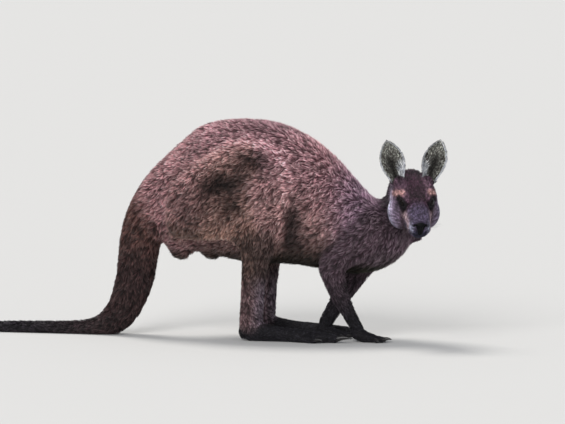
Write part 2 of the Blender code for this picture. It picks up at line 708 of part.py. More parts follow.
def head_cell(low, high):
    """A cell given in the head's own frame."""

    def made(grow):
        lo, hi = np.array(low, float) - grow, np.array(high, float) + grow
        corners = np.array([[(lo, hi)[(i >> k) & 1][k] for k in range(3)] for i in range(8)])
        faces = [(0, 1, 3, 2), (4, 6, 7, 5), (0, 4, 5, 1), (2, 3, 7, 6), (0, 2, 6, 4), (1, 5, 7, 3)]
        return mesh_of([(from_head(corners), faces)], "cell")

    return made


def seat_cell(root, width, up, face):
    """The flat-bottomed seat of an ear."""
    corners = [root - up * HALF + up * u + width * a + face * b for u in (0, 4) for a in (-1.95, 1.95) for b in (-2.35, 0.5)]
    faces = [(0, 1, 3, 2), (4, 6, 7, 5), (0, 4, 5, 1), (2, 3, 7, 6), (0, 2, 6, 4), (1, 5, 7, 3)]
    return mesh_of([(np.array(corners), faces)], "cell")


head = take(head, "nose", head_cell((18.3, -1.95, -0.6), (24, 1.95, 4)))
for side, s in (("R", -1), ("L", 1)):
    socket = from_head((EYE_AT[0], s * EYE_AT[1], EYE_AT[2]))
    head = cut(head, mesh_of([ball(socket, [EYE_R + GAP / CM] * 3)]), "DIFFERENCE")
    MADE["eye_" + side] = mesh_of([ball(socket, [EYE_R] * 3)])
    share = EAR_BASE / EAR_LONG
    ear = mesh_of([ear_sheet(s, 0.42, 0.0, rows=9, cols=7)])
    width, up, face = ear_axes(s)
    root = from_head([EAR_AT[0], s * EAR_AT[1], EAR_AT[2]]) + up * EAR_BASE
    MADE["ear_" + side] = biggest(cut(ear, slab_cell(root, -up, -HALF, 9.0), "DIFFERENCE"))
    head = cut(head, seat_cell(root, width, up, face), "DIFFERENCE")
MADE["head"] = biggest(head)

# ---------------------------------------------------------------- nodes and their materials

COLOURS = {
    "trunk": ((0.115, 0.072, 0.070), 0.9),
    "neck": ((0.075, 0.050, 0.058), 0.9),
    "head": ((0.105, 0.075, 0.085), 0.88),
    "nose": ((0.016, 0.018, 0.028), 0.45),
    "eye": ((0.006, 0.005, 0.006), 0.06),
    "ear": ((0.10, 0.11, 0.10), 0.9),
    "tail": ((0.060, 0.040, 0.036), 0.9),
    "thigh": ((0.120, 0.075, 0.068), 0.9),
    "shank": ((0.090, 0.065, 0.065), 0.9),
    "foot": ((0.030, 0.026, 0.028), 0.85),
    "upper": ((0.070, 0.048, 0.050), 0.9),
    "forearm": ((0.040, 0.036, 0.044), 0.9),
    "hand": ((0.016, 0.015, 0.018), 0.85),
    "claw": ((0.012, 0.011, 0.012), 0.35),
}

for name, mesh in MADE.items():
    obj = bpy.data.objects.new(name, mesh)
    mesh.name = name
    SCENE.objects.link(obj)
    key = "claw" if "claw" in name else name.split("_")[0]
    colour, rough = COLOURS[key]
    material = bpy.data.materials.new(name)
    material.use_nodes = True
    shader = material.node_tree.nodes["Principled BSDF"]
    shader.inputs["Base Color"].default_value = (*colour, 1)
    shader.inputs["Roughness"].default_value = rough
    shader.inputs["Metallic"].default_value = 0.0
    mesh.materials.clear()
    mesh.materials.append(material)
    mesh.shade_smooth()
    mesh.set_sharp_from_angle(angle=math.radians(50))
for spare in [m for m in bpy.data.meshes if not m.users]:
    bpy.data.meshes.remove(spare)
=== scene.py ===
"""Looks of the life-size western grey kangaroo: one skin under a coat of solid tufts, with its eyes, nose and claws.

Metres, +Z up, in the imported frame. The shape tables are in centimetres from a point under the belly, as in the
construction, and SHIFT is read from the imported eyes. The skin lies inside the solids by the depth of the coat.
"""

import math

import bmesh
import bpy
import numpy as np
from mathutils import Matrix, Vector
from mathutils.bvhtree import BVHTree
from mathutils.kdtree import KDTree


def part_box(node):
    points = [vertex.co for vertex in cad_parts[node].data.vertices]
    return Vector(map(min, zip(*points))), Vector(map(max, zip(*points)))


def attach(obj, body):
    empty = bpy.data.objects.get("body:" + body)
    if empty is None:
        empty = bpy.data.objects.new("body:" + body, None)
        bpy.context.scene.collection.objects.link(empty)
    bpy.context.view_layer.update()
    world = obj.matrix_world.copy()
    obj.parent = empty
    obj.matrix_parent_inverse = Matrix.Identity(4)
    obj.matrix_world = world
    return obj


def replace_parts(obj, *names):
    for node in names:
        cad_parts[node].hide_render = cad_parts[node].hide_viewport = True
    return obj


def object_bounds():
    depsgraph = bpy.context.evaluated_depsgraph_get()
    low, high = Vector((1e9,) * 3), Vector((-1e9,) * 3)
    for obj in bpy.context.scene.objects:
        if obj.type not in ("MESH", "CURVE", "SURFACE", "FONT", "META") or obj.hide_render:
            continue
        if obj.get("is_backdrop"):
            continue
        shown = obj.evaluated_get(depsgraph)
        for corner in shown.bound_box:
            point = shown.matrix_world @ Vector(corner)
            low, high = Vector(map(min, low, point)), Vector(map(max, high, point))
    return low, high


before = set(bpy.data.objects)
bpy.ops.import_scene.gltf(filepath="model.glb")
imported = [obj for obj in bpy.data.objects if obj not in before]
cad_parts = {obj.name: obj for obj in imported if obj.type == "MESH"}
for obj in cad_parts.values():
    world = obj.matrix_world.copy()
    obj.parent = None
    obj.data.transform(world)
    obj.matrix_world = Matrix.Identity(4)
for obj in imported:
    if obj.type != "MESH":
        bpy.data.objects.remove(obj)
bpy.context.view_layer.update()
SCENE = bpy.context.scene.collection
CM, MM = 0.01, 0.001

# ---------------------------------------------------------------- sizes, cm

TRUNK = (
    (-24.5, 39.3, -21.1, 23.6, 5.2),
    (-20.9, 43.2, -18.2, 21.2, 7.0),
    (-16.0, 47.9, -14.2, 20.4, 8.6),
    (-11.5, 51.2, -10.3, 19.8, 9.8),
    (-4.9, 52.7, -4.9, 18.6, 11.0),
    (1.2, 52.8, 0.5, 17.8, 11.8),
    (7.4, 52.0, 5.9, 17.7, 12.2),
    (13.0, 49.7, 11.3, 17.6, 12.0),
    (18.4, 46.3, 15.7, 17.0, 11.2),
    (22.8, 42.2, 19.9, 16.3, 10.0),
    (26.7, 37.9, 24.5, 15.7, 8.8),
    (29.9, 34.8, 29.9, 16.1, 7.8),
    (32.1, 34.2, 34.6, 17.9, 6.9),
    (33.5, 35.6, 37.8, 20.6, 6.1),
    (34.2, 37.2, 39.8, 23.6, 5.6),
)
NECK = (
    (35.6, 0.0, 27.6, 7.4, 6.1),
    (37.7, -0.4, 30.6, 6.6, 5.9),
    (39.0, -1.2, 33.5, 5.9, 5.6),
    (39.8, -3.0, 36.2, 5.7, 5.4),
    (40.6, -5.4, 36.4, 4.9, 4.9),
)
TAIL = (
    (-19.1, 45.0, -12.3, 27.5, 6.6),
    (-24.5, 39.8, -17.2, 24.6, 6.3),
    (-27.5, 35.6, -20.1, 23.2, 5.9),
    (-29.9, 31.0, -21.6, 22.2, 5.4),
    (-31.6, 25.7, -22.1, 20.5, 5.0),
    (-32.3, 21.1, -22.6, 18.1, 4.7),
    (-32.7, 16.7, -23.1, 14.5, 4.4),
    (-33.6, 11.9, -24.3, 10.4, 4.1),
    (-34.7, 8.2, -26.6, 5.5, 3.8),
    (-36.8, 5.3, -29.6, 1.7, 3.3),
    (-39.2, 3.9, -35.2, -0.35, 2.7),
    (-42.4, 3.35, -41.2, -0.4, 2.25),
    (-47.2, 3.1, -47.2, -0.3, 1.95),
    (-54.0, 3.0, -54.0, -0.25, 1.75),
    (-61.3, 2.8, -61.3, -0.25, 1.6),
    (-68.7, 2.35, -68.7, -0.2, 1.35),
    (-75.4, 1.7, -75.4, -0.15, 1.0),
)
THIGH = (
    (-14.6, -5.2, 33.6, 7.6, 4.4),
    (-9.3, -6.6, 36.4, 8.1, 5.3),
    (-2.5, -7.3, 38.9, 8.2, 5.2),
    (3.6, -7.5, 40.4, 7.7, 4.6),
)
HAM = (
    (-15.6, -5.4, 31.6, 8.0, 4.9),
    (-9.4, -7.8, 30.5, 7.2, 5.4),
    (-3.0, -8.8, 30.6, 6.8, 5.2),
    (2.2, -9.2, 32.0, 7.0, 5.2),
)
SHANK = (
    (4.3, -8.3, 38.2, 7.2, 4.8),
    (3.2, -9.3, 31.6, 7.3, 5.0),
    (3.0, -8.8, 26.4, 6.5, 4.6),
    (3.3, -8.2, 22.6, 4.8, 4.0),
    (3.0, -7.6, 19.6, 3.8, 3.4),
    (2.5, -7.2, 15.6, 3.2, 2.95),
    (2.1, -7.1, 9.6, 3.0, 2.65),
    (1.8, -7.2, 4.8, 3.0, 2.6),
    (1.7, -7.2, 2.4, 2.9, 2.5),
)
ARM_R = (
    (32.6, -4.4, 28.4, 5.0, 3.4),
    (31.0, -5.7, 26.8, 5.6, 3.9),
    (27.5, -7.0, 23.6, 4.8, 3.9),
    (23.4, -7.7, 20.3, 3.7, 3.4),
    (21.4, -7.6, 18.2, 3.3, 3.1),
    (21.9, -7.4, 16.0, 3.0, 2.8),
    (23.0, -7.0, 12.4, 2.55, 2.45),
    (23.9, -6.6, 10.0, 2.2, 2.15),
    (25.1, -5.8, 7.5, 1.9, 1.95),
    (26.2, -5.3, 5.2, 1.7, 1.8),
    (27.4, -4.9, 3.0, 1.6, 1.75),
)
ARM_L = (
    (32.4, -4.4, 28.0, 5.0, 3.4),
    (30.8, -5.3, 26.2, 5.6, 3.9),
    (28.1, -6.2, 21.0, 4.5, 3.8),
    (24.9, -5.7, 15.7, 3.3, 3.2),
    (22.7, -4.6, 12.0, 2.75, 2.65),
    (20.9, -3.7, 8.8, 2.25, 2.25),
    (19.3, -2.9, 5.9, 1.95, 1.95),
    (17.9, -2.4, 3.5, 1.75, 1.8),
)
FOOT = (
    (-0.4, 1.7, 1.5, 1.5),
    (0.9, 2.2, 2.35, 2.1),
    (3.2, 2.3, 2.45, 2.35),
    (6.4, 1.9, 2.05, 2.1),
    (10.2, 1.6, 1.75, 1.95),
    (14.0, 1.45, 1.6, 1.95),
    (17.2, 1.3, 1.45, 1.6),
    (20.0, 1.15, 1.3, 1.3),
    (22.2, 1.05, 1.15, 1.1),
)
FOOT_Y, FOOT_OUT = 7.2, 4.0
TOES = (
    ("toe4", 20.4, 0.0, 23.0, 0.1, 1.0, 3.7, 0.62),
    ("toe5", 12.6, 1.1, 18.4, 2.5, 0.82, 2.1, 0.42),
    ("toe3", 12.8, -0.9, 17.0, -1.75, 0.52, 1.5, 0.25),
    ("toe2", 12.4, -1.6, 16.2, -2.65, 0.5, 1.4, 0.25),
)
FINGERS = (
    ("1", -44, 2.1, 0.55, 1.5),
    ("2", -20, 2.9, 0.6, 1.8),
    ("3", -2, 3.2, 0.62, 1.9),
    ("4", 16, 3.0, 0.6, 1.8),
    ("5", 38, 2.3, 0.55, 1.6),
)
HAND_R = ((27.7, -4.8, 2.6), -6.0)
HAND_L = ((17.9, -2.3, 2.6), 2.0)
HEAD_AT, HEAD_YAW, HEAD_PITCH = (40.1, -3.0, 37.25), -71.5, 26.5
HEAD = (
    (-2.6, 3.4, -4.6, 3.8),
    (0.0, 4.2, -5.6, 4.9),
    (3.0, 4.9, -6.3, 5.65),
    (6.0, 5.0, -6.7, 5.75),
    (8.8, 4.55, -6.4, 5.3),
    (10.6, 4.1, -5.8, 4.5),
    (12.4, 3.65, -5.0, 3.6),
    (14.6, 3.1, -4.1, 3.05),
    (16.8, 2.65, -3.5, 2.8),
    (18.5, 2.2, -2.8, 2.35),
)
EYE_AT, EYE_R = (10.0, 2.9, 1.95), 1.3
EAR_AT, EAR_LONG = (2.9, 3.5, 2.5), 11.0
EAR = (
    (0.0, 1.15, 1.25),
    (0.1, 1.65, 1.55),
    (0.22, 2.2, 1.6),
    (0.36, 2.75, 1.45),
    (0.5, 3.02, 1.2),
    (0.64, 2.9, 0.95),
    (0.78, 2.35, 0.7),
    (0.89, 1.55, 0.45),
    (0.96, 0.85, 0.25),
    (1.0, 0.25, 0.1),
)
# Side view of the thigh's outline, x and z, from the top of the haunch forward round the knee, down the calf and back.
THIGH_EDGE = (
    (-6.7, 46.0), (-1.6, 48.1), (3.8, 48.7), (7.9, 47.1), (10.9, 43.8), (12.2, 40.5), (12.1, 35.7), (11.4, 30.4),
    (10.0, 23.6), (8.7, 17.4), (0.9, 17.3), (-0.8, 22.1), (-4.5, 24.5), (-9.7, 23.6), (-15.3, 23.9), (-18.5, 25.9),
    (-20.2, 29.9), (-19.3, 34.7), (-15.3, 38.6), (-10.9, 42.3),
)
# Dents of the thigh and flank: x, z, radius, depth, and the share of painted shade that darkens the coat there.
HOLLOWS = (
    (-7.9, 38.0, 2.3, 0.2, 0.76),
    (-4.8, 37.9, 3.2, 1.1, 0.98),
    (-1.5, 38.7, 2.9, 0.4, 0.96),
    (2.0, 43.5, 2.4, 0.4, 0.87),
    (5.1, 43.2, 2.4, 0.4, 0.86),
    (1.3, 39.4, 2.5, 0.2, 0.62),
    (-1.0, 32.8, 2.9, 0.8, 0.96),
    (-4.5, 35.6, 5.6, 0.2, 0.35),
    (-11.5, 31.5, 5.6, 0.3, 0.55),
    (-15.9, 34.2, 2.4, 0.1, 0.4),
    (-17.6, 25.4, 2.8, 0.1, 0.8),
    (-11.5, 26.0, 3.6, 0.1, 0.5),
    (13.0, 31.2, 2.2, 0.5, 0.9),
    (12.8, 28.0, 2.1, 0.5, 0.93),
    (12.6, 24.6, 2.3, 0.45, 0.92),
)
# Fuller places that catch the light: x, z, radius and the share of painted highlight that lightens the coat there.
SWELL_HIGHLIGHTS = (
    (-2.7, 26.3, 2.3, 0.7),
    (-18.9, 33.0, 2.0, 0.35),
    (8.6, 37.5, 2.6, 0.1),
    (8.9, 30.0, 2.4, 0.2),
    (-9.5, 41.8, 2.6, 0.2),
    (-3.0, 46.6, 2.4, 0.3),
)


# ---------------------------------------------------------------- shapes from stations


def through(rows, per):
    """A smooth curve through rows of numbers, with per steps between each pair."""
    rows = np.array(rows, float)
    gaps = np.linalg.norm(np.diff(rows[:, :3], axis=0), axis=1)
    at = np.concatenate([[0.0], np.cumsum(np.maximum(gaps, 1e-6))])
    slope = np.gradient(rows, at, axis=0)
    out = []
    for i in range(len(rows) - 1):
        span = at[i + 1] - at[i]
        for t in np.arange(per) / per:
            a, b = (1 + 2 * t) * (1 - t) ** 2, t * (1 - t) ** 2
            c, d = t * t * (3 - 2 * t), t * t * (t - 1)
            out.append(a * rows[i] + b * span * slope[i] + c * rows[i + 1] + d * span * slope[i + 1])
    out.append(rows[-1])
    return np.array(out)


def tube(centres, ups, sides, cap_start, cap_end, around=32, square=1.0, steps=(20, 40, 58, 74)):
    turn = np.linspace(0, 2 * math.pi, around, endpoint=False)
    c = np.sign(np.cos(turn)) * np.abs(np.cos(turn)) ** square
    s = np.sign(np.sin(turn)) * np.abs(np.sin(turn)) ** square
    rings = [m + np.outer(c, h) + np.outer(s, v) for m, v, h in zip(centres, ups, sides)]

    def cap(k, way, long):
        on = centres[k] - centres[k - way]
        on = on / (np.linalg.norm(on) + 1e-9) * long
        more = []
        for a in np.radians(steps):
            more.append(centres[k] + on * math.sin(a) + (rings[k] - centres[k]) * math.cos(a))
        return more, centres[k] + on

    first, pole_a = cap(0, -1, cap_start)
    last, pole_b = cap(len(rings) - 1, 1, cap_end)
    rings = first[::-1] + rings + last
    points = np.concatenate(rings + [[pole_a], [pole_b]])
    return points, ring_faces(len(rings), around)


def ring_faces(m, n):
    """Quads between m rings of n points, and fans to the two poles that follow them."""
    faces = []
    for i in range(m - 1):
        for j in range(n):
            k = (j + 1) % n
            faces.append((i * n + j, i * n + k, (i + 1) * n + k, (i + 1) * n + j))
    for j in range(n):
        k = (j + 1) % n
        faces.append((m * n, k, j))
        faces.append((m * n + 1, (m - 1) * n + j, (m - 1) * n + k))
    return faces


def plane_parts(rows, per):
    r = through(rows, per)
    top = np.stack([r[:, 0], 0 * r[:, 0], r[:, 1]], 1)
    low = np.stack([r[:, 2], 0 * r[:, 0], r[:, 3]], 1)
    side = np.stack([0 * r[:, 4], r[:, 4], 0 * r[:, 4]], 1)
    return (top + low) / 2, (top - low) / 2, side


def limb_parts(rows, per, mirror=False):
    r = through(rows, per)
    if mirror:
        r[:, 1] *= -1
    centre = r[:, :3]
    on = np.gradient(centre, axis=0)
    on /= np.linalg.norm(on, axis=1)[:, None]
    side = np.array([0.0, 1.0, 0.0]) - on * on[:, 1:2]
    side /= np.linalg.norm(side, axis=1)[:, None]
    up = np.cross(on, side)
    return centre, up * r[:, 3:4], side * r[:, 4:5]


def plane_tube(rows, per=4, caps=(0.5, 0.5), square=1.0):
    return tube(*plane_parts(rows, per), *caps, square=square)


def limb_tube(rows, per=4, caps=(0.5, 0.5), mirror=False):
    return tube(*limb_parts(rows, per, mirror), *caps)


def ball(centre, radii, rings=15, n=24):
    ring = np.linspace(0, 2 * math.pi, n, endpoint=False)
    at = np.linspace(-math.pi / 2, math.pi / 2, rings + 2)[1:-1]
    made = [np.stack([math.cos(a) * np.cos(ring), math.cos(a) * np.sin(ring), 0 * ring + math.sin(a)], 1) for a in at]
    points = np.concatenate(made + [[[0, 0, -1]], [[0, 0, 1]]]) * radii
    return points + np.array(centre, float), ring_faces(rings, n)


def head_axes():
    yaw, pitch = math.radians(HEAD_YAW), math.radians(HEAD_PITCH)
    ahead = np.array([math.cos(yaw), math.sin(yaw), 0.0])
    front = ahead * math.cos(pitch) - np.array([0, 0, math.sin(pitch)])
    up = ahead * math.sin(pitch) + np.array([0, 0, math.cos(pitch)])
    return np.stack([front, np.cross(up, front), up])


AXES = head_axes()


def from_head(points):
    return np.asarray(points, float) @ AXES + HEAD_AT


def to_head(points):
    return (np.asarray(points, float) - HEAD_AT) @ AXES.T


def middle(node):
    low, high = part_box(node)
    return (np.array(low) + np.array(high)) / 2


SHIFT = np.mean(
    [middle("eye_" + side) - from_head((EYE_AT[0], s * EYE_AT[1], EYE_AT[2])) * CM for side, s in (("R", -1), ("L", 1))],
    axis=0,
)
SHIFT = np.array([round(float(SHIFT[0]), 5), round(float(SHIFT[1]), 5), 0.0])


def head_shapes():
    r = through(HEAD, 6)
    zero = 0 * r[:, 0]
    centre = np.stack([r[:, 0], zero, (r[:, 1] + r[:, 2]) / 2], 1)
    up = np.stack([zero, zero, (r[:, 1] - r[:, 2]) / 2], 1)
    side = np.stack([zero, r[:, 3], zero], 1)
    shapes = [tube(centre, up, side, 1.5, 1.0, around=48, square=0.9)]
    for s in (-1, 1):
        shapes += [
            ball((6.2, s * 2.9, -3.1), (4.8, 3.5, 4.1)),
            ball((16.6, s * 1.3, -1.0), (2.3, 1.6, 1.75)),
            ball((2.1, s * 3.4, 2.6), (2.0, 1.7, 1.9)),
        ]
    shapes += [ball((18.5, 0, 0.75), (1.35, 1.75, 1.35)), ball((15.4, 0, -3.0), (2.5, 1.8, 1.2))]
    return [(from_head(points), faces) for points, faces in shapes]


def hand_parts(where, mirror):
    """Palm and finger tubes, and each claw's name, root, way and length."""
    (x, y, z), yaw = where
    a = math.radians(yaw)
    ahead, out = np.array([math.cos(a), math.sin(a), 0]), np.array([math.sin(a), -math.cos(a), 0])
    wrist = np.array([x, y, z])
    palm = [
        np.append(wrist + ahead * d + [0, 0, h - z], (tall, wide))
        for d, h, tall, wide in ((-0.9, 2.4, 1.7, 1.75), (0.5, 1.6, 1.55, 1.9), (2.0, 1.15, 1.3, 2.15), (3.4, 0.95, 1.05, 2.1))
    ]
    tubes, claws = [(palm, (1.2, 0.8))], []
    flip = np.array([1, -1, 1]) if mirror else np.array([1, 1, 1])
    for name, spread, long, thick, nail in FINGERS:
        b = math.radians(spread)
        way = ahead * math.cos(b) + out * math.sin(b)
        root = wrist + ahead * 2.2 + way * 0.8 + [0, 0, 0.75 - z]
        tip = root + way * (long + 0.2)
        rows = [
            np.append(root, (thick * 1.1, thick * 1.05)),
            np.append(root * 0.5 + tip * 0.5 + [0, 0, 0.22], (thick * 1.05, thick)),
            np.append(tip + [0, 0, -0.08], (thick * 0.95, thick * 0.9)),
        ]
        tubes.append((rows, (0.4, 0.45)))
        claws.append((name, (tip + way * 0.3 + [0, 0, -0.03]) * flip, way * flip, nail, 0.34))
    return tubes, claws


def foot_parts(s):
    """Sole and toe tubes of the right (s = -1) or left foot, and its claws."""
    turn = math.radians(FOOT_OUT)

    def put(x, out, z):
        return np.array([x * math.cos(turn) - out * math.sin(turn), s * (FOOT_Y + x * math.sin(turn) + out * math.cos(turn)), z])

    tubes = [([(*put(x, 0, z), tall, wide) for x, z, tall, wide in FOOT], (0.9, 0.7))]
    claws = []
    for name, x0, o0, x1, o1, thick, nail, nail_r in TOES:
        a, b = put(x0, o0, thick), put(x1, o1, thick * 0.85)
        rows = [
            np.append(a, (thick, thick)),
            np.append((a + b) / 2 + [0, 0, 0.25 * thick], (thick * 1.05, thick)),
            np.append(b, (thick * 0.95, thick * 0.95)),
        ]
        tubes.append((rows, (0.3, 0.5 * thick)))
        way = (b - a) * [1, 1, 0]
        way /= np.linalg.norm(way)
        claws.append((name[-1], b + way * 0.5 * thick, way, nail, nail_r))
    return tubes, claws


def ear_axes(s):
    lean = math.radians(15.5)
    out = AXES[1] * s
    up = np.array([0, 0, 1.0]) * math.cos(lean) + out * math.sin(lean)
    face = AXES[0] * [1, 1, 0]
    face = face / np.linalg.norm(face) + 0.12 * out
    face -= up * face.dot(up)
    face /= np.linalg.norm(face)
    return np.cross(up, face), up, face


def ear_at(s, u, t, back, inset=0.0):
    """Points of an ear in centimetres, for arrays u from -1 to 1 across it and t from 0 to 1 up it. back is 0 on the hollow side and 1 on the outer one."""
    width, up, face = ear_axes(s)
    foot = from_head([EAR_AT[0], s * EAR_AT[1], EAR_AT[2]])
    u, t = np.asarray(u, float), np.asarray(t, float)
    t_at = [e[0] for e in EAR]
    half = np.interp(t, t_at, [e[1] for e in EAR]) - inset * np.clip((t - 0.05) * 8, 0, 1)
    half = np.maximum(half, 0.06)
    bow = np.interp(t, t_at, [e[2] for e in EAR])
    long = EAR_LONG - 1.6 * inset
    p = foot + up * (long * t)[..., None] + width * (half * np.sin(u * 1.45) / math.sin(1.45))[..., None]
    p = p - face * (bow * (1 - u * u) - 0.35 * t * t)[..., None]
    # The hollow has a rib down its middle and a rolled inner edge low down.
    rib = 0.12 * np.exp(-((u - 0.25) ** 2) / 0.02) + 0.1 * np.exp(-((u + 0.3) ** 2) / 0.02)
    p = p + face * (rib * np.exp(-((t - 0.3) ** 2) / 0.06) * (1 - back))[..., None]
    thick = 0.27 * (0.4 + 0.6 * (1 - np.abs(u) ** 3)) * (1 - 0.45 * t)
    return p - face * (thick * back + 0.05)[..., None]


def claw(base, on, long, thick, drop=0.25, back=0.45, around=14, n=12):
    """A curved, pointed claw, taller than it is wide."""
    on = np.array(on, float) / np.linalg.norm(on)
    side = np.cross([0, 0, 1.0], on)
    side /= np.linalg.norm(side)
    centres, high, wide = [], [], []
    for t in np.linspace(0, 1, n):
        centres.append(np.array(base) + on * (long * t - back) + np.array([0, 0, 0.16 * long * math.sin(2.2 * t) - drop * t]))
        r = thick * (1 - t) ** 0.7 + 0.03
        high.append([0, 0, 1.12 * r])
        wide.append(side * r * 0.82)
    return tube(np.array(centres), np.array(high), np.array(wide), 0.05, 0.04, around=around, steps=(45,))


# ---------------------------------------------------------------- Blender meshes


def new_mesh(points, faces, name="shape"):
    mesh = bpy.data.meshes.new(name)
    mesh.from_pydata(np.asarray(points).tolist(), [], [tuple(int(i) for i in q) for q in faces])
    return mesh


def mesh_of(shapes, name="shape"):
    """One mesh in metres from closed shapes in centimetres, each facing out."""
    points, faces, at = [], [], 0
    for p, f in shapes:
        p = np.asarray(p) * CM + SHIFT
        tri = np.array([(q[0], q[i], q[i + 1]) for q in f for i in range(1, len(q) - 1)])
        a, b, c = (p[tri[:, k]] - p.mean(axis=0) for k in range(3))
        flip = np.einsum("ij,ij->i", a, np.cross(b, c)).sum() < 0
        points.append(p)
        faces += [tuple(at + i for i in (q[::-1] if flip else q)) for q in f]
        at += len(p)
    return new_mesh(np.concatenate(points), faces, name)


def with_modifier(mesh, kind, prepare=None, **settings):
    """The mesh after one modifier."""
    obj = bpy.data.objects.new("work", mesh)
    SCENE.objects.link(obj)
    if prepare:
        prepare(obj)
    modifier = obj.modifiers.new(kind, kind)
    for key, value in settings.items():
        setattr(modifier, key, value)
    graph = bpy.context.evaluated_depsgraph_get()
    made = bpy.data.meshes.new_from_object(obj.evaluated_get(graph), depsgraph=graph)
    bpy.data.objects.remove(obj, do_unlink=True)
    return made


def united(mesh, other):
    """The union of two closed meshes."""
    obj = bpy.data.objects.new("other", other)
    SCENE.objects.link(obj)
    made = with_modifier(mesh, "BOOLEAN", object=obj, operation="UNION", solver="MANIFOLD")
    bpy.data.objects.remove(obj, do_unlink=True)
    return made


def points_of(mesh):
    co = np.empty(len(mesh.vertices) * 3, np.float32)
    mesh.vertices.foreach_get("co", co)
    return co.reshape(-1, 3).astype(float)


def normals_of(mesh):
    n = np.empty(len(mesh.vertices) * 3, np.float32)
    mesh.vertex_normals.foreach_get("vector", n)
    return n.reshape(-1, 3).astype(float)


def edges_of(mesh):
    e = np.empty(len(mesh.edges) * 2, np.int32)
    mesh.edges.foreach_get("vertices", e)
    return e.reshape(-1, 2).T


def set_points(mesh, co):
    mesh.vertices.foreach_set("co", np.ascontiguousarray(co, np.float32).ravel())
    mesh.update()


def spread(values, a, b, count):
    """The mean of each vertex's neighbours."""
    n = len(count)
    out = [np.bincount(a, values[b, k], n) + np.bincount(b, values[a, k], n) for k in range(values.shape[1])]
    return np.stack(out, 1) / count[:, None]


def evened(mesh, rounds, weight=None):
    """Rounds off the joins and the voxel steps without thinning the limbs."""
    co = points_of(mesh)
    a, b = edges_of(mesh)
    count = np.maximum(np.bincount(a, minlength=len(co)) + np.bincount(b, minlength=len(co)), 1)
    w = 1.0 if weight is None else weight[:, None]
    for i in range(2 * rounds):
        co = co + w * (0.6 if i % 2 == 0 else -0.615) * (spread(co, a, b, count) - co)
    set_points(mesh, co)


def relaxed(mesh, rounds, weight):
    """Plain smoothing, by weight."""
    co = points_of(mesh)
    a, b = edges_of(mesh)
    count = np.maximum(np.bincount(a, minlength=len(co)) + np.bincount(b, minlength=len(co)), 1)
    for _ in range(rounds):
        co = co + weight[:, None] * 0.5 * (spread(co, a, b, count) - co)
    set_points(mesh, co)


def voxelled(mesh, voxel, rounds):
    made = with_modifier(mesh, "REMESH", mode="VOXEL", voxel_size=voxel * CM)
    evened(made, rounds)
    return made


def joined(meshes):
    points, faces, at = [], [], 0
    for mesh in meshes:
        co = points_of(mesh)
        points.append(co)
        faces += [tuple(at + i for i in p.vertices) for p in mesh.polygons]
        at += len(co)
    return new_mesh(np.concatenate(points), faces)


def smooth(x, low, high):
    """0 below low, 1 above high, and smooth between."""
    t = np.clip((np.asarray(x, float) - low) / (high - low), 0, 1)
    return t * t * (3 - 2 * t)


# ---------------------------------------------------------------- which part of the body a point is on

PARTS = ("trunk", "neck", "tail", "thigh", "shank", "arm", "head", "hand", "foot")
STATIONS = {key: [] for key in ("centre", "up", "side", "on", "part", "along", "way")}


def add_stations(part, centre, up, side, way=None):
    """The rings of one tube: the coat's way is along it unless given."""
    on = np.gradient(centre, axis=0)
    step = np.linalg.norm(on, axis=1)
    on /= step[:, None]
    hu, hs = np.linalg.norm(up, axis=1), np.linalg.norm(side, axis=1)
    STATIONS["centre"].append(centre)
    STATIONS["up"].append(up / (hu**2)[:, None])
    STATIONS["side"].append(side / (hs**2)[:, None])
    reach = np.maximum(step, 0.5 * (hu + hs) / 2)
    STATIONS["on"].append(on / reach[:, None])
    STATIONS["part"].append(np.full(len(centre), PARTS.index(part)))
    STATIONS["along"].append(np.linspace(0, 1, len(centre)))
    STATIONS["way"].append(on if way is None else np.broadcast_to(way, centre.shape))


add_stations("trunk", *plane_parts(TRUNK, 3), way=(-1.0, 0.0, 0.0))
centre, up, side = limb_parts(NECK, 3)
add_stations("neck", centre, up, side, way=-np.gradient(centre, axis=0) / np.linalg.norm(np.gradient(centre, axis=0), axis=1)[:, None])
add_stations("tail", *plane_parts(TAIL, 3))
for flip in (False, True):
    add_stations("thigh", *limb_parts(THIGH, 3, flip), way=(-0.72, 0.0, -0.69))
    add_stations("thigh", *limb_parts(HAM, 3, flip), way=(-0.6, 0.0, -0.8))
    add_stations("shank", *limb_parts(SHANK[2:], 3, flip))
    add_stations("arm", *limb_parts(ARM_L if flip else ARM_R, 3, flip))
    for rows, _ in hand_parts(HAND_L if flip else HAND_R, flip)[0]:
        add_stations("hand", *limb_parts(rows, 3, flip))
    for rows, _ in foot_parts(1 if flip else -1)[0]:
        add_stations("foot", *limb_parts(rows, 3))
rows = through(HEAD, 3)
zero = 0 * rows[:, 0]
head_centre = from_head(np.stack([rows[:, 0], zero, (rows[:, 1] + rows[:, 2]) / 2], 1))
head_up = np.stack([zero, zero, (rows[:, 1] - rows[:, 2]) / 2], 1) @ AXES
head_side = np.stack([zero, rows[:, 3], zero], 1) @ AXES
add_stations("head", head_centre, head_up, head_side, way=-AXES[0])
STATIONS = {key: np.concatenate(value) for key, value in STATIONS.items()}


def field_of(cm):
    """For points in centimetres: the weight of each part, the place along it, and the way of the coat."""
    share = np.zeros((len(cm), len(PARTS)))
    along = np.zeros((len(cm), len(PARTS)))
    way = np.zeros((len(cm), 3))
    one_hot = np.eye(len(PARTS))[STATIONS["part"]]
    for k in range(0, len(cm), 6000):
        p = cm[k : k + 6000]
        d2 = np.zeros((len(p), len(STATIONS["centre"])))
        for key in ("up", "side", "on"):
            axis = STATIONS[key]
            d2 += (p @ axis.T - np.einsum("ij,ij->i", STATIONS["centre"], axis)) ** 2
        w = np.exp(-5.0 * (d2 - d2.min(axis=1)[:, None]))
        w /= w.sum(axis=1)[:, None]
        share[k : k + 6000] = w @ one_hot
        along[k : k + 6000] = w @ (one_hot * STATIONS["along"][:, None])
        way[k : k + 6000] = w @ STATIONS["way"]
    return share, along / np.maximum(share, 1e-6), way


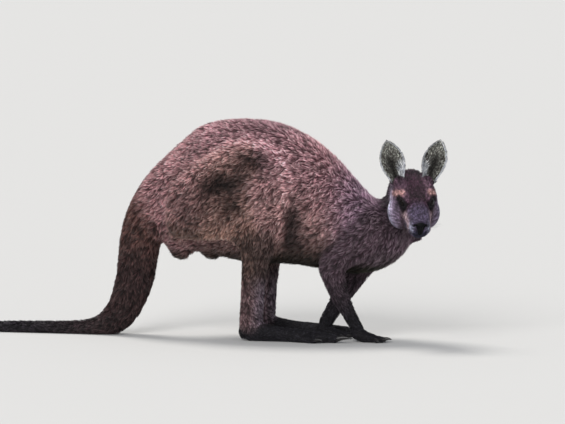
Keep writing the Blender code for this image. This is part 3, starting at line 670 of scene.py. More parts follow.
def part(share, name):
    return share[:, PARTS.index(name)]


def thigh_edge(cm):
    """Distance outside the thigh's outline in the side view, in centimetres: below 0 on the thigh."""
    p = cm[:, [0, 2]]
    ring = np.array(THIGH_EDGE)
    nearest = np.full(len(p), 1e9)
    inside = np.zeros(len(p), bool)
    for a, b in zip(ring, np.roll(ring, -1, axis=0)):
        along = np.clip(((p - a) @ (b - a)) / (b - a).dot(b - a), 0, 1)
        nearest = np.minimum(nearest, np.linalg.norm(p - a - along[:, None] * (b - a), axis=1))
        crosses = (a[1] > p[:, 1]) != (b[1] > p[:, 1])
        if a[1] != b[1]:
            inside ^= crosses & (p[:, 0] < (b[0] - a[0]) * (p[:, 1] - a[1]) / (b[1] - a[1]) + a[0])
    return np.where(inside, -nearest, nearest)


def outer_side(cm):
    return smooth(np.abs(cm[:, 1]), 5.0, 8.0)


def light_of_form(cm):
    """Painted shade and painted highlight: how much darker the coat is painted in the dents and folds, and lighter on
    the fuller places and along the outline, of the thigh, flank and arm.
    """
    out = outer_side(cm)
    edge = thigh_edge(cm)
    low = 1 - smooth(cm[:, 2], 16, 21)
    front = smooth(cm[:, 0], -6, 4)
    knee = smooth(cm[:, 2], 31.5, 34.5) * smooth(cm[:, 0], 7, 10)
    # painted highlight just inside the thigh's outline, and painted shade just outside it
    tone = 1 + (0.38 + 0.72 * front) * np.exp(-(((edge + 0.9 - 0.9 * knee) / 0.95) ** 2)) * out * (1 - low)
    tone *= 1 - (0.28 + 0.24 * front) * (1 - 0.5 * knee) * np.exp(-(((edge - 1.9 - 0.5 * knee) / 1.7) ** 2)) * out * (1 - low)
    # painted shade in the dents, at about half strength on the left side
    near_side = np.where(cm[:, 1] > 0, 0.55, 1.0)
    for x, z, radius, _, painted_shade in HOLLOWS:
        tone *= 1 - painted_shade * near_side * out * np.exp(-(((cm[:, 0] - x) ** 2 + (cm[:, 2] - z) ** 2) / radius**2))
    # painted highlight on the fuller places
    for x, z, radius, painted_highlight in SWELL_HIGHLIGHTS:
        tone *= 1 + painted_highlight * out * np.exp(-(((cm[:, 0] - x) ** 2 + (cm[:, 2] - z) ** 2) / radius**2))
    # painted shade in the fold between the shoulder and the chest
    line = cm[:, 2] - (19.2 + (cm[:, 0] - 18.4) * 0.9)
    tone *= 1 - 0.35 * np.exp(-(((line - 0.8) / 1.3) ** 2)) * smooth(cm[:, 0], 18, 21) * (1 - smooth(cm[:, 0], 31, 34)) * smooth(np.abs(cm[:, 1]), 4, 6)
    return tone


# ---------------------------------------------------------------- the skin


def body_shapes():
    shapes = [
        plane_tube(TRUNK, 4, (2.0, 1.0), square=0.94),
        limb_tube(NECK, 4, (1.0, 1.0)),
        plane_tube(TAIL, 4, (1.0, 1.3)),
        ball((-16.8, 0, 24.6), (4.3, 3.9, 6.6)),
        ball((-9.3, 0, 21.8), (3.2, 3.2, 3.6)),
    ]
    for flip in (False, True):
        s = 1 if flip else -1
        shapes += [
            limb_tube(THIGH, 4, (4.0, 1.5), mirror=flip),
            ball((4.0, s * 7.4, 40.1), (7.7, 4.7, 7.9)),
            limb_tube(HAM, 4, (3.3, 3.0), mirror=flip),
            limb_tube(SHANK, 4, (1.5, 1.0), mirror=flip),
            limb_tube(ARM_L if flip else ARM_R, 4, (3.0, 0.8), mirror=flip),
            ball((30.0, s * 4.6, 27.0), (6.4, 3.9, 6.2)),
        ]
    return shapes


def outer_form():
    """The whole animal out to its coat, at about 2 mm, before it is thinned to the skin."""
    forms = [voxelled(mesh_of(body_shapes()), 0.5, 22)]
    forms.append(voxelled(mesh_of(head_shapes() + [limb_tube(NECK, 4, (1.0, 1.0))]), 0.22, 9))
    for flip in (False, True):
        arm = limb_tube((ARM_L if flip else ARM_R)[-5:], 4, (0.5, 0.8), mirror=flip)
        hand = [limb_tube(r, 3, caps, mirror=flip) for r, caps in hand_parts(HAND_L if flip else HAND_R, flip)[0]]
        forms.append(voxelled(mesh_of([arm] + hand), 0.16, 4))
        foot = [limb_tube(r, 3, caps) for r, caps in foot_parts(1 if flip else -1)[0]]
        forms.append(voxelled(mesh_of([limb_tube(SHANK[-4:], 4, (0.5, 0.8), mirror=flip)] + foot), 0.2, 4))
    return voxelled(joined(forms), 0.22, 3)


def thinned(mesh, keep_to):
    """Fewer triangles on the body, and all of them on the head, hands and feet."""
    cm = (points_of(mesh) - SHIFT) / CM
    head = to_head(cm)
    fine = smooth(head[:, 0], 2.0, 4.0) * (np.abs(head[:, 1]) < 8) * (np.abs(head[:, 2]) < 9)
    fine = np.maximum(fine, (cm[:, 2] < 3.4) & (cm[:, 0] > -3))
    weight = 1 - fine

    def prepare(obj):
        group = obj.vertex_groups.new(name="far")
        levels = np.round(weight * 4) / 4
        for level in np.unique(levels):
            group.add(np.nonzero(levels == level)[0].tolist(), float(level), "REPLACE")

    have = 2 * len(mesh.polygons)
    return with_modifier(
        mesh, "DECIMATE", prepare, ratio=min(1.0, keep_to / have), vertex_group="far", vertex_group_factor=0.02, use_collapse_triangulate=True
    )


def coat_depth(cm, share, along, normal):
    """How far the skin lies under the tips of the coat, in centimetres."""
    head = to_head(cm)
    face = 0.55 - 0.33 * smooth(head[:, 0], 1.0, 9.0)
    depth = (
        part(share, "trunk") * 0.9
        + part(share, "neck") * 0.85
        + part(share, "tail") * (0.75 - 0.3 * part(along, "tail"))
        + part(share, "thigh") * 0.8
        + part(share, "shank") * (0.6 - 0.25 * part(along, "shank"))
        + part(share, "arm") * (0.7 - 0.38 * part(along, "arm"))
        + part(share, "head") * face
        + part(share, "hand") * 0.16
        + part(share, "foot") * 0.2
    )
    # Bare soles, and the under side of the tail where it lies, reach the floor itself.
    under = smooth(-normal[:, 2], 0.25, 0.8) * (1 - smooth(cm[:, 2], 0.15, 1.0))
    return depth * (1 - under)


def refined(mesh, inside, levels):
    """Splits the triangles whose middle is inside, once for each level."""
    bm = bmesh.new()
    bm.from_mesh(mesh)
    for level in range(levels):
        bm.faces.ensure_lookup_table()
        middle = np.array([f.calc_center_median() for f in bm.faces])
        chosen = np.nonzero(inside((middle - SHIFT) / CM, level))[0]
        edges = {e for i in chosen for e in bm.faces[i].edges}
        bmesh.ops.subdivide_edges(bm, edges=list(edges), cuts=1, use_grid_fill=True)
        bmesh.ops.triangulate(bm, faces=[f for f in bm.faces if len(f.verts) > 3])
    made = bpy.data.meshes.new("skin")
    bm.to_mesh(made)
    bm.free()
    return made


def gaze(s):
    """The way an eye looks, and its slit's long and short axes, in the head's frame."""
    out = np.array([0.52, 0.82 * s, 0.22])
    out /= np.linalg.norm(out)
    long = np.array([1.0, -0.3 * s, -0.2])
    long -= out * long.dot(out)
    long /= np.linalg.norm(long)
    high = np.cross(long, out) * (-s)
    if high[2] < 0:
        high = -high
    return out, long, high


EYE = np.array(EYE_AT)


SLIT = (1.24, 0.78, 0.62)  # half the length of the opening, and its height above and below, along the ball


def eye_place(head, s):
    """Distance from the eye's centre, its direction, and the place around the slit: e is 1 on the lid's edge, and b is above 0 over it."""
    v = head - EYE * [1, s, 1]
    r = np.maximum(np.linalg.norm(v, axis=1), 1e-6)
    out, long, high = gaze(s)
    a, b, front = v @ long, v @ high, v @ out
    arc = EYE_R * np.arccos(np.clip(front / r, -1, 1)) / np.maximum(np.hypot(a, b), 1e-6)
    tall = np.where(b > 0, SLIT[1], SLIT[2])
    e = ((np.abs(a * arc) / SLIT[0]) ** 1.75 + (np.abs(b * arc) / tall) ** 1.75) ** (1 / 1.75)
    return v, r, a, b, front, e


def mouth_height(x):
    """The line of the mouth along the side of the muzzle, in the head's frame."""
    return -1.75 - 0.055 * (18.2 - x) - 0.5 * smooth(-x, -14.5, -12.6)


def face_shaped(head, normal):
    """Sockets, lids, nose, mouth and folds: moves points of the head, in its own frame, in centimetres."""
    p = head.copy()
    for s in (-1, 1):
        # brow ridge, hollow in front of the eye and fold below it
        v, r, a, b, front, e = eye_place(p, s)
        near = (r < 4.0) & (front > -0.6)
        bump = 0.2 * np.exp(-((a + 0.3) ** 2 / 2.0 + (b - 1.45) ** 2 / 0.3))
        bump -= 0.16 * np.exp(-((a - 1.9) ** 2 / 0.5 + (b + 0.2) ** 2 / 0.4))
        bump -= 0.08 * np.exp(-((a - 0.1) ** 2 / 1.5 + (b + 1.5) ** 2 / 0.1))
        p += normal * (bump * near)[:, None]
        v, r, a, b, front, e = eye_place(p, s)
        near = (r < 3.2) & (front > -0.5)
        unit = v / r[:, None]
        lid = EYE_R + 0.09 + 0.07 * np.exp(-((e - 1.3) ** 2) / 0.03) + 0.06 * (b > 0) * np.exp(-((e - 2.0) ** 2) / 0.06)
        crease = 0.07 * np.exp(-((e - 1.62) ** 2) / 0.012) + 0.05 * np.exp(-((e - 2.5) ** 2) / 0.04)
        target = 0.5 * (r + lid + np.sqrt((r - lid) ** 2 + 0.012)) - crease
        open_ = 1 - smooth(e, 0.96, 1.06)
        target = target * (1 - open_) + (EYE_R - 0.16) * open_
        fade = 1 - smooth(r, 2.4, 3.2)
        target = r + (target - r) * fade
        p = np.where(near[:, None], EYE * [1, s, 1] + unit * target[:, None], p)
        # nostril: a comma open to the front and side
        y, z = p[:, 1] * s, p[:, 2]
        ahead = smooth(p[:, 0], 17.6, 18.6)
        cy, cz = 0.98, 0.72
        hole = np.exp(-(((y - cy) / 0.36) ** 2 + ((z - cz - 0.25 * (y - cy)) / 0.28) ** 2) ** 1.3)
        slit = np.exp(-(((y - cy - 0.42) / 0.42) ** 2) - ((z - cz - 0.3 - 0.35 * (y - cy - 0.42)) / 0.16) ** 2)
        p[:, 0] -= ahead * (0.62 * hole + 0.18 * slit)
        p[:, 1] -= s * ahead * (y > 0) * (0.1 * slit)
        p[:, 2] += ahead * (y > 0) * 0.07 * np.exp(-(((y - cy) / 0.6) ** 2) - ((z - cz - 0.66) / 0.24) ** 2)
        # lips
        on_side = smooth(y, 0.25, 0.9) * (p[:, 0] > 12.0)
        line = z - mouth_height(p[:, 0])
        fade = smooth(p[:, 0], 12.3, 13.6)
        groove = 0.2 * np.exp(-((line / 0.13) ** 2)) - 0.07 * np.exp(-(((line - 0.36) / 0.24) ** 2)) - 0.05 * np.exp(-(((line + 0.36) / 0.24) ** 2))
        p -= normal * (groove * on_side * fade)[:, None]
    # front of the mouth and the groove up to the nose
    front = smooth(p[:, 0], 17.2, 18.2)
    y = np.abs(p[:, 1])
    line = p[:, 2] - mouth_height(18.2) - 0.12 * np.exp(-((y / 0.4) ** 2))
    p -= normal * (0.2 * np.exp(-((line / 0.13) ** 2)) * front * (1 - smooth(y, 0.7, 1.3)) )[:, None]
    groove = 0.17 * np.exp(-((y / 0.1) ** 2)) * smooth(p[:, 2], -1.8, -1.5) * (1 - smooth(p[:, 2], 0.5, 1.2))
    p -= normal * (groove * front)[:, None]
    # edge of the bare nose pad
    pad = nose_edge(p)
    p += normal * (0.035 * smooth(pad, -0.12, 0.16) * smooth(p[:, 0], 16.6, 17.4))[:, None]
    return p


def nose_edge(head):
    """Distance inside the bare nose pad, in centimetres: above 0 on the pad."""
    y, z = np.abs(head[:, 1]), head[:, 2]
    top = 2.12 - 0.16 * y**2
    low = -0.3 + 0.35 * smooth(y, 0.5, 1.6) - 0.5 * np.exp(-((y / 0.3) ** 2))
    sides = (top - z, z - low, 1.9 - y, (head[:, 0] - 17.1) * 0.8)
    return -0.26 * np.log(sum(np.exp(-np.clip(k, -8, 8) / 0.26) for k in sides))


def skin_mesh():
    mesh = thinned(outer_form(), 84800)
    co = points_of(mesh)
    cm = (co - SHIFT) / CM
    share, along, way = field_of(cm)
    normal = normals_of(mesh)
    # dents of the thigh, and the fold round its outline
    out = outer_side(cm)
    sink = np.zeros(len(cm))
    for x, z, radius, depth, _ in HOLLOWS:
        sink += depth * np.exp(-(((cm[:, 0] - x) ** 2 + (cm[:, 2] - z) ** 2) / radius**2))
    edge = thigh_edge(cm)
    high = smooth(cm[:, 2], 18, 24) * (1 - 0.2 * smooth(cm[:, 2], 42, 46)) * (1 - 0.6 * smooth(cm[:, 2], 32, 35) * smooth(cm[:, 0], 7, 10))
    sink += high * (0.75 * np.exp(-(((edge - 1.4) / 1.1) ** 2)) - 0.28 * np.exp(-(((edge + 1.3) / 1.4) ** 2)))
    cm -= normal * (sink * out)[:, None]
    cm -= normal * coat_depth(cm, share, along, normal)[:, None]
    cm[:, 2] = np.maximum(cm[:, 2], 0.02)
    set_points(mesh, cm * CM + SHIFT)
    evened(mesh, 2, weight=1 - smooth(-normal[:, 2], 0.3, 0.8) * (cm[:, 2] < 0.6))

    for s in (-1, 1):
        rows, cols = 46, 27
        t = np.repeat(-0.14 + 1.14 * (np.arange(rows) / (rows - 1)) ** 0.9, cols)
        u = np.tile(np.linspace(-1, 1, cols), rows)
        points = np.concatenate([ear_at(s, u, t, np.zeros(len(t)), 0.1), ear_at(s, u, t, np.ones(len(t)), 0.1)])
        ear = mesh_of([(points, grid_faces(rows, cols))])
        mesh = united(mesh, ear)

    def close_up(cm, level):
        head = to_head(cm)
        near = np.zeros(len(cm), bool)
        for s in (-1, 1):
            v, r, a, b, front, e = eye_place(head, s)
            near |= (r < (3.0, 2.2, 2.0)[level]) & (front > -0.3) & ((level < 2) | ((e > 0.8) & (e < 1.35)))
        if level < 2:
            near |= (head[:, 0] > (16.4, 17.3)[level]) & (head[:, 2] > (-9, -2.6)[level])
            near |= (head[:, 0] > 12.0) & (np.abs(head[:, 2] - mouth_height(head[:, 0])) < (0.6, 0.28)[level])
        return near & (np.abs(head[:, 1]) < 6) & (np.abs(head[:, 2]) < 6.5) & (head[:, 0] > 5.5)

    mesh = refined(mesh, close_up, 3)
    head = to_head((points_of(mesh) - SHIFT) / CM)
    zone = smooth(head[:, 0], 5.0, 7.0) * (np.abs(head[:, 1]) < 6) * (np.abs(head[:, 2]) < 8)
    relaxed(mesh, 4, zone)
    cm = (points_of(mesh) - SHIFT) / CM
    head = to_head(cm)
    use = (head[:, 0] > 4) & (np.abs(head[:, 1]) < 6.5) & (np.abs(head[:, 2]) < 8)
    normal = normals_of(mesh)
    shaped = face_shaped(head[use], normal[use] @ AXES.T)
    cm[use] = from_head(shaped)
    set_points(mesh, cm * CM + SHIFT)
    return mesh


def grid_faces(rows, cols):
    n, faces = rows * cols, []
    for i in range(rows - 1):
        for j in range(cols - 1):
            a, b, c, d = i * cols + j, i * cols + j + 1, (i + 1) * cols + j + 1, (i + 1) * cols + j
            faces += [(a, b, c, d), (n + d, n + c, n + b, n + a)]
    rim = [j for j in range(cols)] + [i * cols + cols - 1 for i in range(1, rows)]
    rim += [(rows - 1) * cols + j for j in range(cols - 2, -1, -1)] + [i * cols for i in range(rows - 2, 0, -1)]
    for a, b in zip(rim, rim[1:] + rim[:1]):
        faces.append((b, a, n + a, n + b))
    return faces


SKIN = skin_mesh()

# ---------------------------------------------------------------- colours and markings


def linear(r, g, b):
    c = np.array([r, g, b], float) / 255
    return np.where(c <= 0.04045, c / 12.92, ((c + 0.055) / 1.055) ** 2.4)


def mixed(colour, other, share):
    share = np.asarray(share, float)[..., None]
    return colour * (1 - share) + np.asarray(other) * share


def hashed(points, size, seed):
    """Smooth noise from 0 to 1 over points in centimetres, from random values on a lattice."""
    q = points / size + 100.0
    cell = np.floor(q).astype(np.int64)
    f = q - cell
    f = f * f * (3 - 2 * f)
    total = np.zeros(len(points))
    for corner in range(8):
        step = np.array([(corner >> k) & 1 for k in range(3)])
        c = cell + step
        h = (c[:, 0] * 73856093) ^ (c[:, 1] * 19349663) ^ (c[:, 2] * 83492791) ^ (seed * 2654435761)
        h = (h ^ (h >> 13)) * 1274126177
        value = ((h ^ (h >> 16)) & 0xFFFF) / 65535.0
        total += value * np.prod(np.where(step, f, 1 - f), axis=1)
    return total


def blob(points, at, radii):
    """1 at a place and falling off over radii, all in centimetres."""
    return np.exp(-(((points - np.array(at)) / np.array(radii)) ** 2).sum(axis=1))


BACK = linear(162, 120, 127)
SADDLE_SHADE = linear(124, 91, 101)
SIDES = linear(148, 112, 111)
RUMP = linear(163, 119, 123)
HAUNCH = linear(154, 117, 108)
CALF = linear(128, 98, 82)
BELLY_SHADE = linear(38, 32, 23)
SHOULDER = linear(138, 110, 130)
THROAT = linear(68, 68, 60)
NAPE = linear(38, 24, 34)
ARM = linear(92, 74, 84)
LEG = linear(116, 92, 94)
LEG_FRONT = linear(126, 112, 124)
LEG_TOP = linear(74, 57, 48)
PAW = linear(38, 37, 43)
TAIL_TOP = linear(94, 64, 58)
TAIL_MID = linear(62, 44, 44)
TAIL_END = linear(34, 30, 36)
CROWN = linear(58, 35, 49)
CHEEK = linear(144, 127, 150)
MAUVE = linear(126, 96, 114)
NAVY = linear(34, 38, 54)
RIM = linear(176, 184, 206)
MUZZLE = linear(80, 70, 93)
DARK = linear(14, 12, 15)
BROW = linear(216, 166, 160)
STRIPE = linear(172, 146, 152)
PALE = linear(160, 164, 184)
NOSE = linear(4, 5, 8)


def markings(cm, share, along, normal):
    """The coat's colour at points of the skin, with painted shade under the belly and over the top of the back."""
    head = to_head(cm)
    z, x, y = cm[:, 2], cm[:, 0], np.abs(cm[:, 1])
    top = 52.0 - 0.03 * (x - 1) ** 2
    height = np.clip((z - 18) / np.maximum(top - 18, 5), 0, 1)
    trunk = mixed(np.broadcast_to(SIDES, cm.shape), BACK, smooth(height, 0.4, 0.9))
    # painted shade over the top of the back
    trunk = mixed(trunk, SADDLE_SHADE, 0.75 * blob(np.stack([x, y, z], 1), (7.5, 0.0, 51.5), (8.5, 9.0, 4.2)))
    trunk = mixed(trunk, SHOULDER, smooth(x, 19, 28))
    trunk = mixed(trunk, RUMP, smooth(-x, 6, 18))
    # painted shade: the underside of the trunk is painted dark, where shade falls under the belly
    trunk = mixed(trunk, BELLY_SHADE, 1 - smooth(height, 0.02, 0.25 + 0.22 * smooth(x, 2, 14) * (1 - smooth(x, 20, 28))))
    trunk = mixed(trunk, THROAT, smooth(x, 24, 36) * (1 - smooth(z, 19, 27)) * 0.7)
    trunk = mixed(trunk, NAPE, 0.65 * smooth(x, 28.5, 34) * smooth(z, 22, 28))
    neck = mixed(np.broadcast_to(NAPE, cm.shape), THROAT, smooth(-normal[:, 2] + 0.7 * normal[:, 0], 0.0, 0.9) * 0.8)
    tail = mixed(np.broadcast_to(TAIL_TOP, cm.shape), TAIL_MID, smooth(part(along, "tail"), 0.1, 0.4))
    tail = mixed(tail, TAIL_END, smooth(part(along, "tail"), 0.45, 0.85))
    tail = mixed(tail, RUMP, 0.8 * (1 - smooth(part(along, "tail"), 0.02, 0.16)))
    thigh = mixed(np.broadcast_to(HAUNCH, cm.shape), RUMP, smooth(-x, 4, 14) * 0.6)
    thigh = mixed(thigh, CALF, 1 - smooth(z, 23, 32))
    shank = mixed(np.broadcast_to(LEG, cm.shape), LEG_FRONT, smooth(normal[:, 0] * 0.8 + 0.2, 0.0, 0.9))
    shank = mixed(shank, LEG_TOP, smooth(z, 12, 17) * 0.85)
    shank = mixed(shank, PAW, smooth(part(along, "shank"), 0.86, 1.1))
    arm = mixed(np.broadcast_to(ARM, cm.shape), PAW, smooth(part(along, "arm"), 0.35, 0.9))
    face = face_colours(head, normal @ AXES.T)
    hand = np.broadcast_to(PAW, cm.shape)
    names = (("trunk", trunk), ("neck", neck), ("tail", tail), ("thigh", thigh), ("shank", shank), ("arm", arm), ("head", face), ("hand", hand), ("foot", hand))
    total = np.zeros_like(cm)
    for name, colour in names:
        total += part(share, name)[:, None] * colour
    return total


def nose_dark(head):
    """1 on the black of the nose: broad over the nostrils, and narrowing down to the lip."""
    y, z = np.abs(head[:, 1]), head[:, 2]
    low = -1.75 + 2.3 * smooth(y, 0.2, 1.15)
    return smooth(z - low, -0.12, 0.14) * smooth(1.85 - 0.3 * y**2 - z, -0.1, 0.12) * smooth(1.8 - y, -0.12, 0.12) * smooth(head[:, 0], 16.9, 17.4)


def face_colours(head, normal):
    x, y, z = head[:, 0], np.abs(head[:, 1]), head[:, 2]
    mirrored = np.stack([x, y, z], 1)
    c = np.broadcast_to(CROWN, head.shape)
    side = smooth(y, 2.6, 4.4)
    c = mixed(c, MAUVE, 0.7 * smooth(y, 1.2, 3.4) * smooth(z, 1.2, 3.0))
    c = mixed(c, CHEEK, side * (1 - smooth(z, 0.2, 2.6)) * (1 - smooth(x, 10.5, 13.0)) * 0.85)
    c = mixed(c, RIM, 0.6 * blob(mirrored, (5.6, 6.1, -2.8), (3.4, 1.2, 3.6)))
    c = mixed(c, RIM, 0.7 * blob(mirrored, (7.8, 5.2, -5.0), (2.6, 1.5, 1.5)))
    c = mixed(c, MUZZLE, smooth(x, 11.4, 15.4) * (1 - smooth(y, 2.6, 3.6)))
    c = mixed(c, DARK, 0.6 * blob(mirrored, (10.6, 0.0, 4.0), (1.7, 1.8, 1.4)))
    c = mixed(c, STRIPE, np.clip(1.1 * blob(mirrored, (13.2, 2.8, 0.35), (3.6, 0.72, 0.95)), 0, 0.9))
    c = mixed(c, STRIPE, np.clip(0.9 * blob(mirrored, (16.9, 2.3, -0.6), (1.2, 0.8, 1.0)), 0, 0.8))
    rise = 0.848 * z - 0.529 * x
    band = np.exp(-(((y - 3.95) / 1.15) ** 4) - ((rise + 1.7 + 0.12 * (y - 3.9)) / 0.55) ** 2) * (x > 5) * (x < 12)
    c = mixed(c, BROW, np.clip(1.25 * band, 0, 0.92))
    c = mixed(c, DARK, np.clip(1.2 * blob(mirrored, (11.5, 3.1, 1.3), (1.0, 0.8, 0.7)), 0, 1) * 0.7)
    c = mixed(c, DARK, 0.65 * blob(mirrored, (9.8, 3.9, 0.3), (1.2, 1.0, 0.6)))
    c = mixed(c, DARK, np.clip(1.1 * blob(mirrored, (9.0, 4.05, 2.05), (0.8, 0.7, 0.5)), 0, 0.9))
    c = mixed(c, THROAT, smooth(-z, 5.4, 7.0) * (1 - smooth(x, 11, 14)) * 0.8 * (1 - 0.6 * smooth(y, 2.5, 4.5)))
    c = mixed(c, DARK, smooth(-z, 2.1, 2.9) * smooth(x, 13.5, 15.5) * 0.75)
    lips = np.exp(-(((z - mouth_height(x)) / 0.22) ** 2)) * smooth(x, 12.4, 13.6)
    c = mixed(c, DARK, 0.85 * lips)
    c = mixed(c, DARK, 0.75 * blob(mirrored, (2.6, 3.4, 4.2), (1.6, 1.4, 1.1)))
    c = mixed(c, PALE, 0.9 * smooth(x, 16.9, 17.8) * np.exp(-(((y - 1.95) / 0.55) ** 2) - ((z + 0.1) / 0.95) ** 2))
    c = mixed(c, NAVY, 0.8 * smooth(x, 16.9, 17.8) * (1 - smooth(y, 1.2, 1.7)) * (1 - smooth(z, -0.7, -0.2)))
    c = mixed(c, NOSE, nose_dark(head))
    for s in (-1, 1):
        v, r, a, b, front, e = eye_place(head, s)
        ring = (r < 2.4) & (front > 0)
        c = mixed(c, DARK, ring * (1 - smooth(e, 1.25, 1.95)) * 0.95)
    return c


# ---------------------------------------------------------------- the coat: solid tufts that follow its lie

RNG = np.random.default_rng(11)
CO = (points_of(SKIN) - SHIFT) / CM
NORMAL = normals_of(SKIN)
TRIS = np.empty(len(SKIN.loops), np.int32)
SKIN.loops.foreach_get("vertex_index", TRIS)
TRIS = TRIS.reshape(-1, 3)
SHARE, ALONG, WAY = field_of(CO)


def unit(v):
    return v / np.maximum(np.linalg.norm(v, axis=1), 1e-9)[:, None]


def on_ear(cm):
    """For points in centimetres: 1 on an ear, with its side, the place up it and across it, and 1 on its outer side."""
    best = np.zeros(len(cm))
    up_at, across, behind = np.zeros(len(cm)), np.zeros(len(cm)), np.zeros(len(cm))
    for s in (-1, 1):
        width, up, face = ear_axes(s)
        v = cm - from_head([EAR_AT[0], s * EAR_AT[1], EAR_AT[2]])
        t = v @ up / EAR_LONG
        half = np.interp(t, [e[0] for e in EAR], [e[1] for e in EAR])
        w = v @ width / half
        on = smooth(t, 0.0, 0.06) * (np.abs(w) < 1.25) * (np.abs(v @ face) < 3.2)
        bow = np.interp(t, [e[0] for e in EAR], [e[2] for e in EAR])
        u = np.clip(w, -1, 1)
        middle_of = -bow * (1 - u * u) + 0.35 * t * t - 0.17
        on = on * np.where(t < 0.4, 1 - smooth(np.abs(v @ face - middle_of), 0.35, 0.6), 1.0)
        use = on > best
        best = np.where(use, on, best)
        up_at, across = np.where(use, t, up_at), np.where(use, s * w, across)
        behind = np.where(use, (v @ face < middle_of).astype(float), behind)
    return best, up_at, across, behind


def lie_of_coat():
    """The way that the hair lies at each vertex of the skin."""
    way = WAY.copy()
    way[:, 2] -= part(SHARE, "trunk") * 0.55 * np.abs(NORMAL[:, 1])
    way[:, 2] -= part(SHARE, "neck") * 0.25 * np.abs(NORMAL[:, 1])
    way = unit(way - NORMAL * np.einsum("ij,ij->i", way, NORMAL)[:, None])
    a, b = edges_of(SKIN)
    count = np.maximum(np.bincount(a, minlength=len(way)) + np.bincount(b, minlength=len(way)), 1)
    for _ in range(14):
        way = 0.4 * way + 0.6 * spread(way, a, b, count)
        way = unit(way - NORMAL * np.einsum("ij,ij->i", way, NORMAL)[:, None])
    head = to_head(CO)
    for s in (-1, 1):
        v, r, a, b, front, e = eye_place(head, s)
        out, long, high = gaze(s)
        away = (v - front[:, None] * out) @ AXES
        near = (r < 3.5) * (front > 0) * np.exp(-(((e - 0.9) / 1.3) ** 2))
        way = way + unit(away) * (1.7 * near)[:, None]
    return unit(way - NORMAL * np.einsum("ij,ij->i", way, NORMAL)[:, None])


FLOW = lie_of_coat()
EARS = on_ear(CO)
HEADS = to_head(CO)


def coat_sizes():
    """Length and width of the tufts in centimetres, the depth of the coat, and whether hair grows, at each vertex."""
    x, y, z = HEADS[:, 0], np.abs(HEADS[:, 1]), HEADS[:, 2]
    face = 0.34 + 0.3 * (1 - smooth(x, 9, 15)) + 0.35 * (1 - smooth(x, 2, 8)) + 0.5 * smooth(y, 3.2, 5.0) * (1 - smooth(x, 8, 12))
    face = face + 0.7 * smooth(-z, 3.0, 5.0) * (1 - smooth(x, 9, 14))
    face_wide = 0.085 + 0.05 * (1 - smooth(x, 4, 12))
    tail, shank, arm = part(ALONG, "tail"), part(ALONG, "shank"), part(ALONG, "arm")
    rows = (
        ("trunk", 1.5, 0.21),
        ("neck", 1.8, 0.2),
        ("tail", 1.9 - 0.8 * tail, 0.22 - 0.06 * tail),
        ("thigh", 1.4, 0.2),
        ("shank", 1.5 - 0.6 * shank, 0.19 - 0.05 * shank),
        ("arm", 1.6 - 0.8 * arm, 0.19 - 0.06 * arm),
        ("head", face, face_wide),
        ("hand", 0.5, 0.1),
        ("foot", 0.7, 0.13),
    )
    long, wide = np.zeros(len(CO)), np.zeros(len(CO))
    for name, l, w in rows:
        long += part(SHARE, name) * l
        wide += part(SHARE, name) * w
    grows = np.ones(len(CO))
    grows *= 1 - smooth(nose_dark(HEADS), 0.3, 0.8)
    line = z - mouth_height(x)
    grows *= 1 - (np.abs(line) < 0.13) * (x > 12.6)
    for s in (-1, 1):
        v, r, a, b, front, e = eye_place(HEADS, s)
        grows *= 1 - (r < 2.6) * (front > 0) * (1 - smooth(e, 1.12, 1.2))
    grows *= 1 - smooth(-NORMAL[:, 2], 0.35, 0.75) * (1 - smooth(CO[:, 2], 0.3, 1.1))
    grows *= 1 - smooth(EARS[0], 0.2, 0.5)
    return long, wide, coat_depth(CO, SHARE, ALONG, NORMAL), grows


LONG, WIDE, DEPTH, GROWS = coat_sizes()
MOST_TUFTS = 137000


def rooted():
    """Triangle and barycentric place of each root, evenly over the skin, closer where the tufts are small."""
    a, b, c = CO[TRIS[:, 0]], CO[TRIS[:, 1]], CO[TRIS[:, 2]]
    area = np.linalg.norm(np.cross(b - a, c - a), axis=1) / 2
    want = area * (GROWS / (LONG * WIDE) ** 0.8)[TRIS].mean(axis=1)
    want *= (1 - 0.5 * part(SHARE, "hand") - 0.55 * part(SHARE, "foot") - 0.35 * part(SHARE, "shank") - 0.35 * part(SHARE, "arm"))[TRIS].mean(axis=1)
    want *= MOST_TUFTS / want.sum()
    order = np.argsort(area_key(a), kind="stable")
    total = np.cumsum(want[order])
    at = np.arange(int(total[-1])) + RNG.uniform(0.15, 0.85, int(total[-1]))
    tri = order[np.minimum(np.searchsorted(total, at), len(order) - 1)]
    u, v = RNG.uniform(0, 1, (2, len(tri)))
    over = u + v > 1
    u[over], v[over] = 1 - u[over], 1 - v[over]
    return tri, np.stack([1 - u - v, u, v], 1)


def area_key(points):
    """Order along a lattice, so that roots drawn in turn are spread evenly."""
    q = np.floor((points + 100) / 0.8).astype(np.int64)
    return (q[:, 0] * 4096 + q[:, 1]) * 4096 + q[:, 2]


def over(values, tri, bary):
    """A vertex value at places on the skin."""
    picked = values[TRIS[tri]]
    return np.einsum("ij,ij->i", picked, bary) if values.ndim == 1 else np.einsum("ijk,ij->ik", picked, bary)


def turned(way, normal, angle):
    return way * np.cos(angle)[:, None] + np.cross(normal, way) * np.sin(angle)[:, None]


def settled(points, tree):
    """The nearest places on the skin, and its normals there."""
    place, facing = np.empty_like(points), np.empty_like(points)
    for i, q in enumerate(points.tolist()):
        where, n, _, _ = tree.find_nearest(q)
        place[i], facing[i] = where, n
    return place, facing


def laid(root, normal, way, long, lift, wide, tree):
    """Root, middle and tip of each tuft, laid along the skin and lifted off it, with its normals."""
    mid, n1 = settled(root + way * (long * 0.5)[:, None], tree)
    way1 = unit(way - n1 * np.einsum("ij,ij->i", way, n1)[:, None])
    tip, n2 = settled(mid + way1 * (long * 0.5)[:, None], tree)
    mid = mid + n1 * (lift * 0.62)[:, None]
    tip = tip + n2 * lift[:, None]
    return mid, tip, n1, way1


